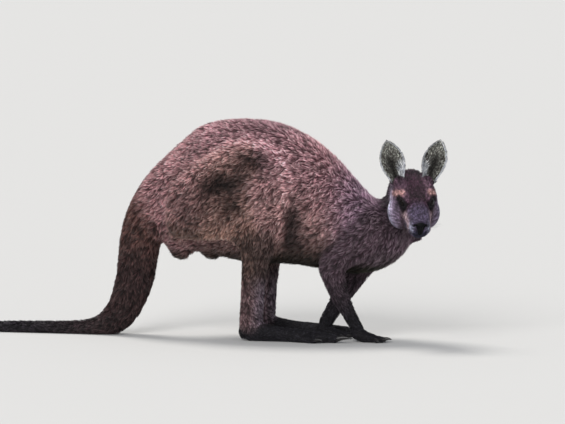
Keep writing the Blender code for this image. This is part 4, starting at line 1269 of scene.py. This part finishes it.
def tuft_mesh(name, root, mid, tip, n0, n1, way, wide, colour, dark, light, uv, grey=0.4):
    """One mesh of closed tufts: each is a flat, three-sided lock that is widest in its middle."""
    count = len(root)
    side = unit(np.cross(n0, way))
    thick = 0.34 * wide
    points = np.empty((count, 7, 3))
    points[:, 0] = root - side * (0.34 * wide)[:, None] - n0 * 0.07
    points[:, 1] = root + side * (0.34 * wide)[:, None] - n0 * 0.07
    points[:, 2] = root + n0 * (thick * 0.7)[:, None] - n0 * 0.05
    points[:, 3] = mid - side * (0.5 * wide)[:, None] - n1 * (0.3 * thick)[:, None]
    points[:, 4] = mid + side * (0.5 * wide)[:, None] - n1 * (0.3 * thick)[:, None]
    points[:, 5] = mid + n1 * (thick * 0.75)[:, None]
    points[:, 6] = tip
    points[:, :, 2] = np.maximum(points[:, :, 2], 0.04)
    local = np.array(
        [(0, 2, 1), (0, 1, 4), (0, 4, 3), (1, 2, 5), (1, 5, 4), (2, 0, 3), (2, 3, 5), (3, 4, 6), (4, 5, 6), (5, 3, 6)]
    )
    spots = {
        0: [(0.0031, 0), (0.0034, 0.0004), (0.0037, 0)],
        1: [(0, 0), (0.001, 0), (0.001, 0.0015)],
        2: [(0, 0), (0.001, 0.0015), (0, 0.0015)],
        3: [(0.001, 0), (0.002, 0), (0.002, 0.0015)],
        4: [(0.001, 0), (0.002, 0.0015), (0.001, 0.0015)],
        5: [(0.002, 0), (0.003, 0), (0.003, 0.0015)],
        6: [(0.002, 0), (0.003, 0.0015), (0.002, 0.0015)],
        7: [(0, 0.0015), (0.001, 0.0015), (0.0005, 0.003)],
        8: [(0.001, 0.0015), (0.002, 0.0015), (0.0015, 0.003)],
        9: [(0.002, 0.0015), (0.003, 0.0015), (0.0025, 0.003)],
    }
    tris = (np.arange(count)[:, None, None] * 7 + local[None]).reshape(-1, 3)
    mesh = bpy.data.meshes.new(name)
    mesh.vertices.add(count * 7)
    mesh.vertices.foreach_set("co", np.ascontiguousarray(points.reshape(-1, 3) * CM + SHIFT, np.float32).ravel())
    mesh.loops.add(len(tris) * 3)
    mesh.loops.foreach_set("vertex_index", tris.ravel().astype(np.int32))
    mesh.polygons.add(len(tris))
    mesh.polygons.foreach_set("loop_start", np.arange(0, len(tris) * 3, 3, dtype=np.int32))
    mesh.update(calc_edges=True)
    mesh.polygons.foreach_set("use_smooth", np.ones(len(tris), bool))
    shade = np.ones((count, 7, 4))
    share = np.stack([dark, dark, dark * 1.05, 0.5 * (dark + 1), 0.5 * (dark + 1), np.ones(count), light], 1)
    tone = colour[:, None, :] * np.minimum(share[:, :, None], 1.0) ** np.array([1.0, 1.16, 1.12]) * np.maximum(share[:, :, None], 1.0)
    pale = tone.mean(axis=2, keepdims=True) * np.array([1.06, 1.0, 0.94])
    tone = tone + (pale - tone) * np.clip((share[:, :, None] - 1.0) * grey * 1.6, 0, grey)
    shade[:, :, :3] = np.clip(tone, 0, 1)
    layer = mesh.color_attributes.new("Col", "FLOAT_COLOR", "POINT")
    layer.data.foreach_set("color", shade.astype(np.float32).ravel())
    patch = np.array([spots[k] for k in range(10)])
    at = uv[:, None, None, :] * 0.985 + 0.005 + patch[None]
    mesh.uv_layers.new(name="OFBake", do_init=False)
    mesh.uv_layers["OFBake"].uv.foreach_set("vector", at.astype(np.float32).ravel())
    return mesh


def unwrapped(faces):
    """For some of the skin's triangles: their corners' places on an unwrap of that part of the skin, from 0 to 1."""
    used, index = np.unique(TRIS[faces].ravel(), return_inverse=True)
    mesh = bpy.data.meshes.new("unwrap")
    mesh.vertices.add(len(used))
    mesh.vertices.foreach_set("co", (CO[used] * CM).astype(np.float32).ravel())
    mesh.loops.add(len(index.ravel()))
    mesh.loops.foreach_set("vertex_index", index.ravel().astype(np.int32))
    mesh.polygons.add(len(faces))
    mesh.polygons.foreach_set("loop_start", np.arange(0, len(faces) * 3, 3, dtype=np.int32))
    mesh.update(calc_edges=True)
    mesh.uv_layers.new(name="place")
    obj = bpy.data.objects.new("unwrap", mesh)
    SCENE.objects.link(obj)
    bpy.ops.object.select_all(action="DESELECT")
    bpy.context.view_layer.objects.active = obj
    obj.select_set(True)
    bpy.ops.object.mode_set(mode="EDIT")
    bpy.ops.mesh.select_all(action="SELECT")
    bpy.ops.uv.smart_project(angle_limit=math.radians(66), island_margin=0.004)
    bpy.ops.object.mode_set(mode="OBJECT")
    uv = np.empty(len(mesh.loops) * 2, np.float32)
    mesh.uv_layers["place"].uv.foreach_get("vector", uv)
    bpy.data.objects.remove(obj, do_unlink=True)
    bpy.data.meshes.remove(mesh)
    return uv.reshape(-1, 3, 2).astype(float)


def placed(name, mesh, material):
    obj = bpy.data.objects.new(name, mesh)
    SCENE.objects.link(obj)
    mesh.materials.clear()
    mesh.materials.append(material)
    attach(obj, "root")
    return obj


# ---------------------------------------------------------------- materials


def material(name, rough, **constants):
    made = bpy.data.materials.new(name)
    made.use_nodes = True
    shader = made.node_tree.nodes["Principled BSDF"]
    shader.inputs["Roughness"].default_value = rough
    for key, value in constants.items():
        shader.inputs[key.replace("_", " ")].default_value = value
    return made, made.node_tree, shader


def attribute(tree, name="Col"):
    node = tree.nodes.new("ShaderNodeAttribute")
    node.attribute_name = name
    return node.outputs["Color"]


def noise(tree, scale, detail=3.0, rough=0.6):
    place = tree.nodes.new("ShaderNodeTexCoord")
    node = tree.nodes.new("ShaderNodeTexNoise")
    node.inputs["Scale"].default_value = scale
    node.inputs["Detail"].default_value = detail
    node.inputs["Roughness"].default_value = rough
    tree.links.new(place.outputs["Object"], node.inputs["Vector"])
    return node.outputs["Fac"]


def bumped(tree, shader, height, strength, distance):
    node = tree.nodes.new("ShaderNodeBump")
    node.inputs["Strength"].default_value = strength
    node.inputs["Distance"].default_value = distance
    tree.links.new(height, node.inputs["Height"])
    tree.links.new(node.outputs["Normal"], shader.inputs["Normal"])


def fur_material(name, rough=0.62, sheen=0.05, gloss=0.15):
    made, tree, shader = material(name, rough, Specular_IOR_Level=gloss, Sheen_Weight=sheen, Sheen_Roughness=0.5)
    tree.links.new(attribute(tree), shader.inputs["Base Color"])
    return made


COAT_MATERIALS = {
    "fur_body": fur_material("coat_body"),
    "fur_head": fur_material("coat_head", 0.6, 0.03, 0.12),
    "fur_limb": fur_material("coat_limb"),
    "fur_paw": fur_material("coat_paw", 0.6, 0.05),
    "fur_tail": fur_material("coat_tail"),
    "fur_ear": fur_material("coat_ear", 0.65),
}


# ---------------------------------------------------------------- the coat's pieces


def ear_colours(up_at, across, behind):
    """Colour on an ear from the place up it, across it (above 0 on the outer half) and on its outer side."""
    inner = mixed(np.broadcast_to(EAR_INNER, (len(up_at), 3)), EAR_DEEP, np.exp(-(((across - 0.1) / 0.42) ** 2)) * (1 - smooth(up_at, 0.5, 0.85)))
    inner = mixed(inner, EAR_WHITE, 0.95 * smooth(np.abs(across), 0.84, 0.94))
    inner = mixed(inner, EAR_WHITE, 0.9 * np.exp(-(((up_at - 0.21) / 0.18) ** 2)) * smooth(-across, 0.1, 0.55))
    inner = mixed(inner, EAR_WHITE, 0.5 * np.exp(-(((up_at - 0.42) / 0.15) ** 2)) * smooth(-across, 0.45, 0.8))
    inner = mixed(inner, EAR_DEEP, 1 - smooth(up_at, 0.0, 0.1))
    back = mixed(np.broadcast_to(EAR_BACK, (len(up_at), 3)), DARK, smooth(up_at, 0.55, 1.0) * 0.6)
    return mixed(inner, back, behind)


EAR_INNER = linear(148, 150, 142)
EAR_DEEP = linear(36, 34, 32)
EAR_WHITE = linear(206, 212, 224)
EAR_BACK = linear(62, 48, 48)

SKIN_COLOUR = markings(CO, SHARE, ALONG, NORMAL)
ear_tone = ear_colours(EARS[1], EARS[2], EARS[3])
# the coat's colour times the painted shade and painted highlight of light_of_form, with the ears' colours over it
SKIN_COLOUR = mixed(SKIN_COLOUR * light_of_form(CO)[:, None], ear_tone, EARS[0])


def coat():
    tree = BVHTree.FromPolygons(CO.tolist(), TRIS.tolist())
    tri, bary = rooted()
    root = over(CO, tri, bary)
    normal = unit(over(NORMAL, tri, bary))
    way = over(FLOW, tri, bary)
    way = unit(way - normal * np.einsum("ij,ij->i", way, normal)[:, None])
    count = len(root)
    head_share = over(part(SHARE, "head"), tri, bary)
    sway = (hashed(root, 3.2, 3) - 0.5) * 0.8 + (hashed(root, 0.9, 4) - 0.5) * 1.5
    sway = sway * (1 - 0.8 * head_share) + RNG.normal(0, 0.14, count)
    way = turned(way, normal, sway)
    long = over(LONG, tri, bary) * RNG.uniform(0.7, 1.15, count)
    wide = over(WIDE, tri, bary) * RNG.uniform(0.7, 1.25, count)
    depth = np.maximum(over(DEPTH, tri, bary), 0.05)
    lift = depth * (0.56 + 0.34 * hashed(root, 1.5, 5)) * RNG.uniform(0.8, 1.12, count)
    mid, tip, n1, way1 = laid(root, normal, way, long, lift, wide, tree)
    # tips draw together into locks: a lock's own hairs stand higher and are painted lighter, and painted shade darkens
    # the gaps between locks
    lead = np.sort(RNG.permutation(count)[: count // 4])
    leaders = KDTree(len(lead))
    for i, k in enumerate(lead):
        leaders.insert(tip[k], i)
    leaders.balance()
    found = [leaders.find(q)[1:] for q in tip.tolist()]
    near = np.array([f[0] for f in found])
    far = np.clip(np.array([f[1] for f in found]) / (2.4 * np.sqrt(long * wide / 3.0)), 0, 1)
    pull = (0.5 * (1 - 0.6 * head_share) * RNG.uniform(0.4, 1.0, count))[:, None]
    tip = tip + (tip[lead[near]] - tip) * pull
    tip = tip + n1 * (depth * (0.3 - 0.45 * far) * RNG.uniform(0.4, 1.3, count))[:, None]
    # colour: a random tone for each lock and place, with painted shade in the gaps between locks
    colour = over(SKIN_COLOUR, tri, bary)
    lock = RNG.uniform(0.4, 1.7, len(lead))[near]
    # far darkens a tuft with painted shade the further its tip lies from its lock's leader
    shade = (0.8 + 0.4 * hashed(root, 2.2, 6)) * (1.42 - 0.9 * far) * lock
    rear = np.clip(sum(over(part(SHARE, name), tri, bary) for name in ("thigh", "tail", "shank")) + 0.7 * smooth(-root[:, 0], 2, 10), 0, 1)
    shade = np.maximum(1 + (shade - 1) * (1 - 0.15 * head_share) * (1 + 0.3 * rear), 0.12)
    shade *= 1 + head_share * (np.clip(2.0 * (hashed(root, 0.4, 8) - 0.5), -0.6, 0.9))
    colour = colour * (shade * RNG.uniform(0.75, 1.25, count))[:, None]
    grizzle = RNG.uniform(0, 1, count) ** 3
    dark = 0.34 + 0.12 * RNG.uniform(0, 1, count) + 0.25 * head_share
    light = 1.15 + 1.0 * grizzle * (1 - 0.5 * head_share)
    # hair that would fall across an eye is left out
    keep = np.ones(count, bool)
    for s in (-1, 1):
        for q in (mid, tip):
            v, r, a, b, front, e = eye_place(to_head(q), s)
            keep &= ~((r < 2.4) & (front > 0) & (e < 1.06))
    # which piece each triangle of the skin belongs to
    kinds = ("trunk", "neck", "tail", "thigh", "shank", "arm", "head", "hand", "foot")
    kind = np.argmax(SHARE[TRIS].sum(axis=1), axis=1)
    middle_of = CO[TRIS].mean(axis=1)
    group = np.full(len(TRIS), -1)
    names = []
    plan = (
        (("trunk", "thigh", "neck"), "fur_body", "coat_body"),
        (("tail",), "fur_tail", "coat_tail"),
        (("shank", "arm"), "fur_limb", "coat_limbs"),
        (("head",), "fur_head", "coat_head"),
        (("hand", "foot"), "fur_paw", "coat_paws"),
    )
    per_tri = np.bincount(tri[keep], minlength=len(TRIS))
    for members, slot_name, name in plan:
        mine = np.isin(kind, [kinds.index(m) for m in members])
        order = np.nonzero(mine)[0][np.argsort(middle_of[mine][:, 0], kind="stable")]
        total = np.cumsum(per_tri[order])
        pieces = max(1, math.ceil(total[-1] / 19000)) if len(total) else 0
        for k in range(pieces):
            part_of = order[(total > total[-1] * k / pieces) & (total <= total[-1] * (k + 1) / pieces)]
            group[part_of] = len(names)
            names.append((name + (f"_{k + 1}" if pieces > 1 else ""), slot_name))
    made = []
    for g, (name, slot_name) in enumerate(names):
        faces = np.nonzero(group == g)[0]
        where = np.full(len(TRIS), -1)
        where[faces] = np.arange(len(faces))
        pick = keep & (group[tri] == g)
        corner = unwrapped(faces)[where[tri[pick]]]
        uv = np.einsum("ijk,ij->ik", corner, bary[pick])
        mesh = tuft_mesh(
            name, root[pick], mid[pick], tip[pick], normal[pick], n1[pick], way1[pick], wide[pick], colour[pick], dark[pick], light[pick], uv,
            grey=0.25 if slot_name == "fur_head" else 0.6,
        )
        made.append(placed(name, mesh, COAT_MATERIALS[slot_name]))
    return made


COAT = coat()


def ear_coat(s):
    """The fringe, the back's close hair and the hollow's thin hair of one ear."""

    def place(u, t, back):
        p = ear_at(s, u, t, back, 0.1)
        du = ear_at(s, np.clip(u + 0.02, -1, 1), t, back, 0.1) - ear_at(s, np.clip(u - 0.02, -1, 1), t, back, 0.1)
        dt = ear_at(s, u, t + 0.01, back, 0.1) - ear_at(s, u, t - 0.01, back, 0.1)
        face = ear_axes(s)[2]
        n = unit(np.cross(du, dt))
        way = np.where(back > 0.5, -1.0, 1.0)[:, None] * face
        n = np.where(np.einsum("ij,ij->i", n, way)[:, None] < 0, -n, n)
        return p, unit(du), unit(dt), n

    few = 1.0
    sets = []
    # outer side: closest hair, lying up the ear
    n = int(1500 * few)
    t, u = RNG.uniform(0.0, 0.98, n), RNG.uniform(-0.98, 0.98, n)
    sets.append((u, t, np.ones(n), 0.75 * (1 - 0.4 * t), 0.09, 0.13, u * 0.25, 1.0))
    n = int(240 * few)
    t, u = RNG.uniform(0.84, 1.0, n), RNG.uniform(-0.98, 0.98, n)
    sets.append((u, t, np.ones(n), 0.6 * (1 - 0.4 * t), 0.11, 0.14, u * 0.25, 1.0))
    # hollow: thin hair, lying up and out towards the rims
    n = int(2100 * few)
    t, u = RNG.uniform(0.0, 0.97, n), RNG.uniform(-0.97, 0.97, n)
    sets.append((u, t, np.zeros(n), 0.5 + 0.35 * np.abs(u), 0.13, 0.12, u * 0.9, 1.0))
    # rims: a pale fringe that stands a little over the hollow
    n = int(1300 * few)
    t = RNG.uniform(0.0, 1.0, n)
    sign = np.where(RNG.uniform(0, 1, n) < 0.5, -1.0, 1.0)
    sets.append((sign * RNG.uniform(0.87, 1.0, n), t, np.zeros(n), 0.8 * (1 - 0.35 * t), 0.16, 0.12, sign * RNG.uniform(-0.5, 0.35, n), 1.5))
    # lower inner edge: the long pale tuft
    n = int(260 * few)
    t = RNG.uniform(0.04, 0.42, n)
    u = -s * RNG.uniform(0.35, 0.98, n)
    sets.append((u, t, np.zeros(n), np.full(n, 1.5), 0.35, 0.12, s * RNG.uniform(0.1, 0.6, n), 1.3))
    # foot of the ear, all round, over the join
    n = int(420 * few)
    t, u = RNG.uniform(-0.08, 0.06, n), RNG.uniform(-1.0, 1.0, n)
    sets.append((u, t, (RNG.uniform(0, 1, n) < 0.6).astype(float), np.full(n, 1.2), 0.22, 0.16, u * 0.2, 0.9))
    columns = [[] for _ in range(11)]
    for u, t, back, long, lift, wide, slant, bright in sets:
        p, du, dt, n = place(u, t, back)
        count = len(u)
        long = long * RNG.uniform(0.75, 1.2, count)
        angle = slant + RNG.normal(0, 0.16, count)
        way = unit(dt * np.cos(angle)[:, None] + du * np.sin(angle)[:, None])
        rise = lift * RNG.uniform(0.6, 1.3, count)
        # the hollow's hair leans forward at the ear's tip, clear of its back
        ahead = (long * 0.3 * smooth(t, 0.8, 0.95) * (1 - back))[:, None] * ear_axes(s)[2]
        mid = p + way * (long * 0.5)[:, None] + n * (rise * 0.6)[:, None] + ahead * 0.4
        tip = p + way * long[:, None] + n * rise[:, None] + ahead
        colour = ear_colours(t, s * u, back) * bright * np.where(back > 0.5, RNG.uniform(0.7, 1.3, count), np.where(RNG.uniform(0, 1, count) < 0.27, 3.0, RNG.uniform(0.15, 0.95, count)))[:, None]
        uv = np.stack([0.05 + 0.4 * (u * 0.5 + 0.5) + 0.5 * (s > 0), 0.03 + 0.44 * np.clip(t + 0.08, 0, 1.05) + 0.5 * (back > 0.5)], 1)
        values = (p, mid, tip, n, n, way, wide * RNG.uniform(0.75, 1.25, count), colour, np.full(count, 0.7), np.full(count, 1.15), uv)
        for column, value in zip(columns, values):
            column.append(value)
    return [np.concatenate(c) for c in columns]


both = [np.concatenate(c) for c in zip(ear_coat(-1), ear_coat(1))]
COAT.append(placed("coat_ears", tuft_mesh("coat_ears", *both), COAT_MATERIALS["fur_ear"]))

# ---------------------------------------------------------------- the skin's piece

skin_material, tree, shader = material("skin_under_coat", 0.75, Specular_IOR_Level=0.25)
tree.links.new(attribute(tree), shader.inputs["Base Color"])
bumped(tree, shader, noise(tree, 900.0), 0.5, 0.0006)
pad_material, tree, shader = material("nose_pad", 0.5, Specular_IOR_Level=0.12)
tree.links.new(attribute(tree), shader.inputs["Base Color"])
bumped(tree, shader, noise(tree, 1400.0, 2.0), 0.6, 0.0004)

layer = SKIN.color_attributes.new("Col", "FLOAT_COLOR", "POINT")
under = np.ones((len(CO), 4))
bare = np.where(GROWS > 0.5, 0.42 + 0.3 * part(SHARE, "head"), 1.0) * (1 - 0.5 * EARS[0])
under[:, :3] = np.clip(SKIN_COLOUR * bare[:, None] ** np.array([1.0, 1.16, 1.12]), 0, 1)
layer.data.foreach_set("color", under.astype(np.float32).ravel())
SKIN.shade_smooth()
skin = placed("skin", SKIN, skin_material)
SKIN.materials.append(pad_material)
pad = (nose_dark(HEADS) > 0.4)[TRIS].all(axis=1) & (HEADS[:, 0] > 15)[TRIS].all(axis=1)
SKIN.polygons.foreach_set("material_index", pad.astype(np.int32))
FLESH = ["trunk", "neck", "head", "nose", "tail_base", "tail_mid", "tail_end"]
for side in "RL":
    FLESH += [name + "_" + side for name in ("thigh", "shank", "foot", "upper_arm", "forearm", "hand", "ear")]
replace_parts(skin, *FLESH)

# ---------------------------------------------------------------- eyes and claws

eye_material, tree, shader = material("wet_eye", 0.08, IOR=1.28, Specular_IOR_Level=0.3, Coat_Weight=0.1, Coat_Roughness=0.02, Coat_IOR=1.25)
tree.links.new(attribute(tree), shader.inputs["Base Color"])
for side, s in (("R", -1), ("L", 1)):
    points, faces = ball((0, 0, 0), (1, 1, 1), rings=41, n=64)
    out, long, high = gaze(s)
    # a flat oval pupil, a dark brown iris, and the cornea's slight bulge
    across, over_, ahead = points @ long, points @ high, points @ out
    mesh = mesh_of([(from_head(points * (EYE_R - 0.012) * (1 + 0.03 * smooth(ahead, 0.72, 0.95))[:, None] + EYE * [1, s, 1]), faces)], "eye_ball_" + side)
    from_axis = np.hypot(across, over_)
    iris = 1 - smooth(from_axis, 0.62, 0.7)
    pupil = 1 - smooth(np.hypot(across / 0.34, over_ / 0.24), 0.92, 1.08)
    tone = mixed(np.broadcast_to(linear(5, 5, 5), points.shape), linear(16, 10, 8), iris)
    tone = mixed(tone, linear(9, 6, 5), iris * smooth(from_axis, 0.5, 0.64))
    tone = mixed(tone, linear(5, 5, 6), pupil)
    layer = mesh.color_attributes.new("Col", "FLOAT_COLOR", "POINT")
    layer.data.foreach_set("color", np.concatenate([tone, np.ones((len(tone), 1))], 1).astype(np.float32).ravel())
    mesh.shade_smooth()
    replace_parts(placed("eye_ball_" + side, mesh, eye_material), "eye_" + side)

claw_material, tree, shader = material("claw_horn", 0.38, Specular_IOR_Level=0.45)
shader.inputs["Base Color"].default_value = (*linear(30, 28, 28), 1)
for side, s in (("R", -1), ("L", 1)):
    for limb, claws in (("hand", hand_parts(HAND_L if s > 0 else HAND_R, s > 0)[1]), ("foot", foot_parts(s)[1])):
        for name, base, on, nail, radius in claws:
            node = f"{limb}_{side}_claw_{name}"
            mesh = mesh_of([claw(base, on, nail, radius, around=20, n=18)], node)
            mesh.shade_smooth()
            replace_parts(placed("horn_" + node, mesh, claw_material), node)

# ---------------------------------------------------------------- whiskers


def whisker(root, way, long, thick):
    """A thin hair that droops to its tip."""
    side = np.cross([0, 0, 1.0], way)
    side /= np.linalg.norm(side)
    t = np.linspace(0, 1, 9)
    centres = np.array([root + way * long * k - np.array([0, 0, 0.14 * long * k * k]) for k in t])
    r = thick * (1 - 0.85 * t)
    return tube(centres, np.outer(r, [0, 0, 1.0]), np.outer(r, side), 0.02, 0.02, around=6, steps=(45,))


made = []
tree = BVHTree.FromPolygons(CO.tolist(), TRIS.tolist())
for s in (-1, 1):
    for row in range(3):
        for k in range(5):
            start = from_head([15.0 + 0.62 * k + 0.2 * row, s * 4.0, -0.2 - 0.42 * row + 0.05 * k])
            hit = tree.ray_cast(start.tolist(), (-AXES[1] * s).tolist(), 5.0)[0]
            if hit is None:
                continue
            way = np.array([-0.55 - 0.12 * (4 - k) * 0.5, s * (1.0 + 0.05 * k), -0.28 + 0.08 * row]) @ AXES
            made.append(whisker(np.array(hit), way / np.linalg.norm(way), RNG.uniform(2.2, 4.2), 0.02))
    for k in range(3):
        start = from_head([9.6 - 0.5 * k, s * 3.2, 6.5])
        hit = tree.ray_cast(start.tolist(), (-AXES[2]).tolist(), 6.0)[0]
        if hit is not None:
            way = np.array([-0.4, s * (0.8 + 0.2 * k), 0.8]) @ AXES
            made.append(whisker(np.array(hit), way / np.linalg.norm(way), RNG.uniform(1.6, 2.4), 0.018))
whisker_material, tree, shader = material("whiskers", 0.5, Specular_IOR_Level=0.3)
shader.inputs["Base Color"].default_value = (*linear(40, 36, 36), 1)
mesh = mesh_of(made, "whiskers")
mesh.shade_smooth()
placed("whiskers", mesh, whisker_material)

# ---------------------------------------------------------------- floor, light and camera

S, TURN, RISE, AWAY = 0.0024, math.radians(12.0), math.radians(5.5), 30.0
right = np.array([math.cos(TURN), math.sin(TURN), 0.0])
near = np.array([math.sin(TURN), -math.cos(TURN), 0.0])
up = np.array([0, 0, math.cos(RISE)]) - near * math.sin(RISE)
back = near * math.cos(RISE) + np.array([0, 0, math.sin(RISE)])
target = SHIFT + 0.078 * right + 0.30 * up

camera = bpy.data.objects.new("camera", bpy.data.cameras.new("camera"))
camera.data.sensor_width = 36
camera.data.lens = 36 * AWAY / (565 * S)
camera.data.clip_start, camera.data.clip_end = 1.0, 400
camera.location = Vector(target + back * AWAY)
camera.rotation_euler = Vector(-back).to_track_quat("-Z", "Y").to_euler()
SCENE.objects.link(camera)
bpy.context.scene.camera = camera

floor_mesh = new_mesh([(-150, -150, 0), (150, -150, 0), (150, 150, 0), (-150, 150, 0)], [(0, 1, 2, 3)], "floor")
floor_material, tree, shader = material("floor", 0.9, Specular_IOR_Level=0.1)
shader.inputs["Base Color"].default_value = (0.58, 0.58, 0.57, 1)
floor = bpy.data.objects.new("floor", floor_mesh)
floor_mesh.materials.append(floor_material)
SCENE.objects.link(floor)
floor.location.z = -0.0005
floor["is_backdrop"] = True


def sun(name, way, strength, softness, colour):
    light = bpy.data.objects.new(name, bpy.data.lights.new(name, "SUN"))
    light.data.energy = strength
    light.data.angle = math.radians(softness)
    light.data.color = colour
    light.rotation_euler = Vector(way).to_track_quat("Z", "Y").to_euler()
    SCENE.objects.link(light)


sun("key", -near * 0.35 - right * 0.25 + np.array([0, 0, 0.9]), 2.1, 24, (1.0, 0.97, 0.93))
sun("fill", near * 0.8 - right * 0.3 + np.array([0, 0, 0.55]), 1.9, 30, (1.0, 0.98, 0.97))
world = bpy.data.worlds.new("studio")
bpy.context.scene.world = world
world.use_nodes = True
world.node_tree.nodes["Background"].inputs["Color"].default_value = (0.86, 0.89, 0.95, 1)
world.node_tree.nodes["Background"].inputs["Strength"].default_value = 0.5
bpy.context.scene.view_settings.view_transform = "Standard"

# ---------------------------------------------------------------- size, and the end

low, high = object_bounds()
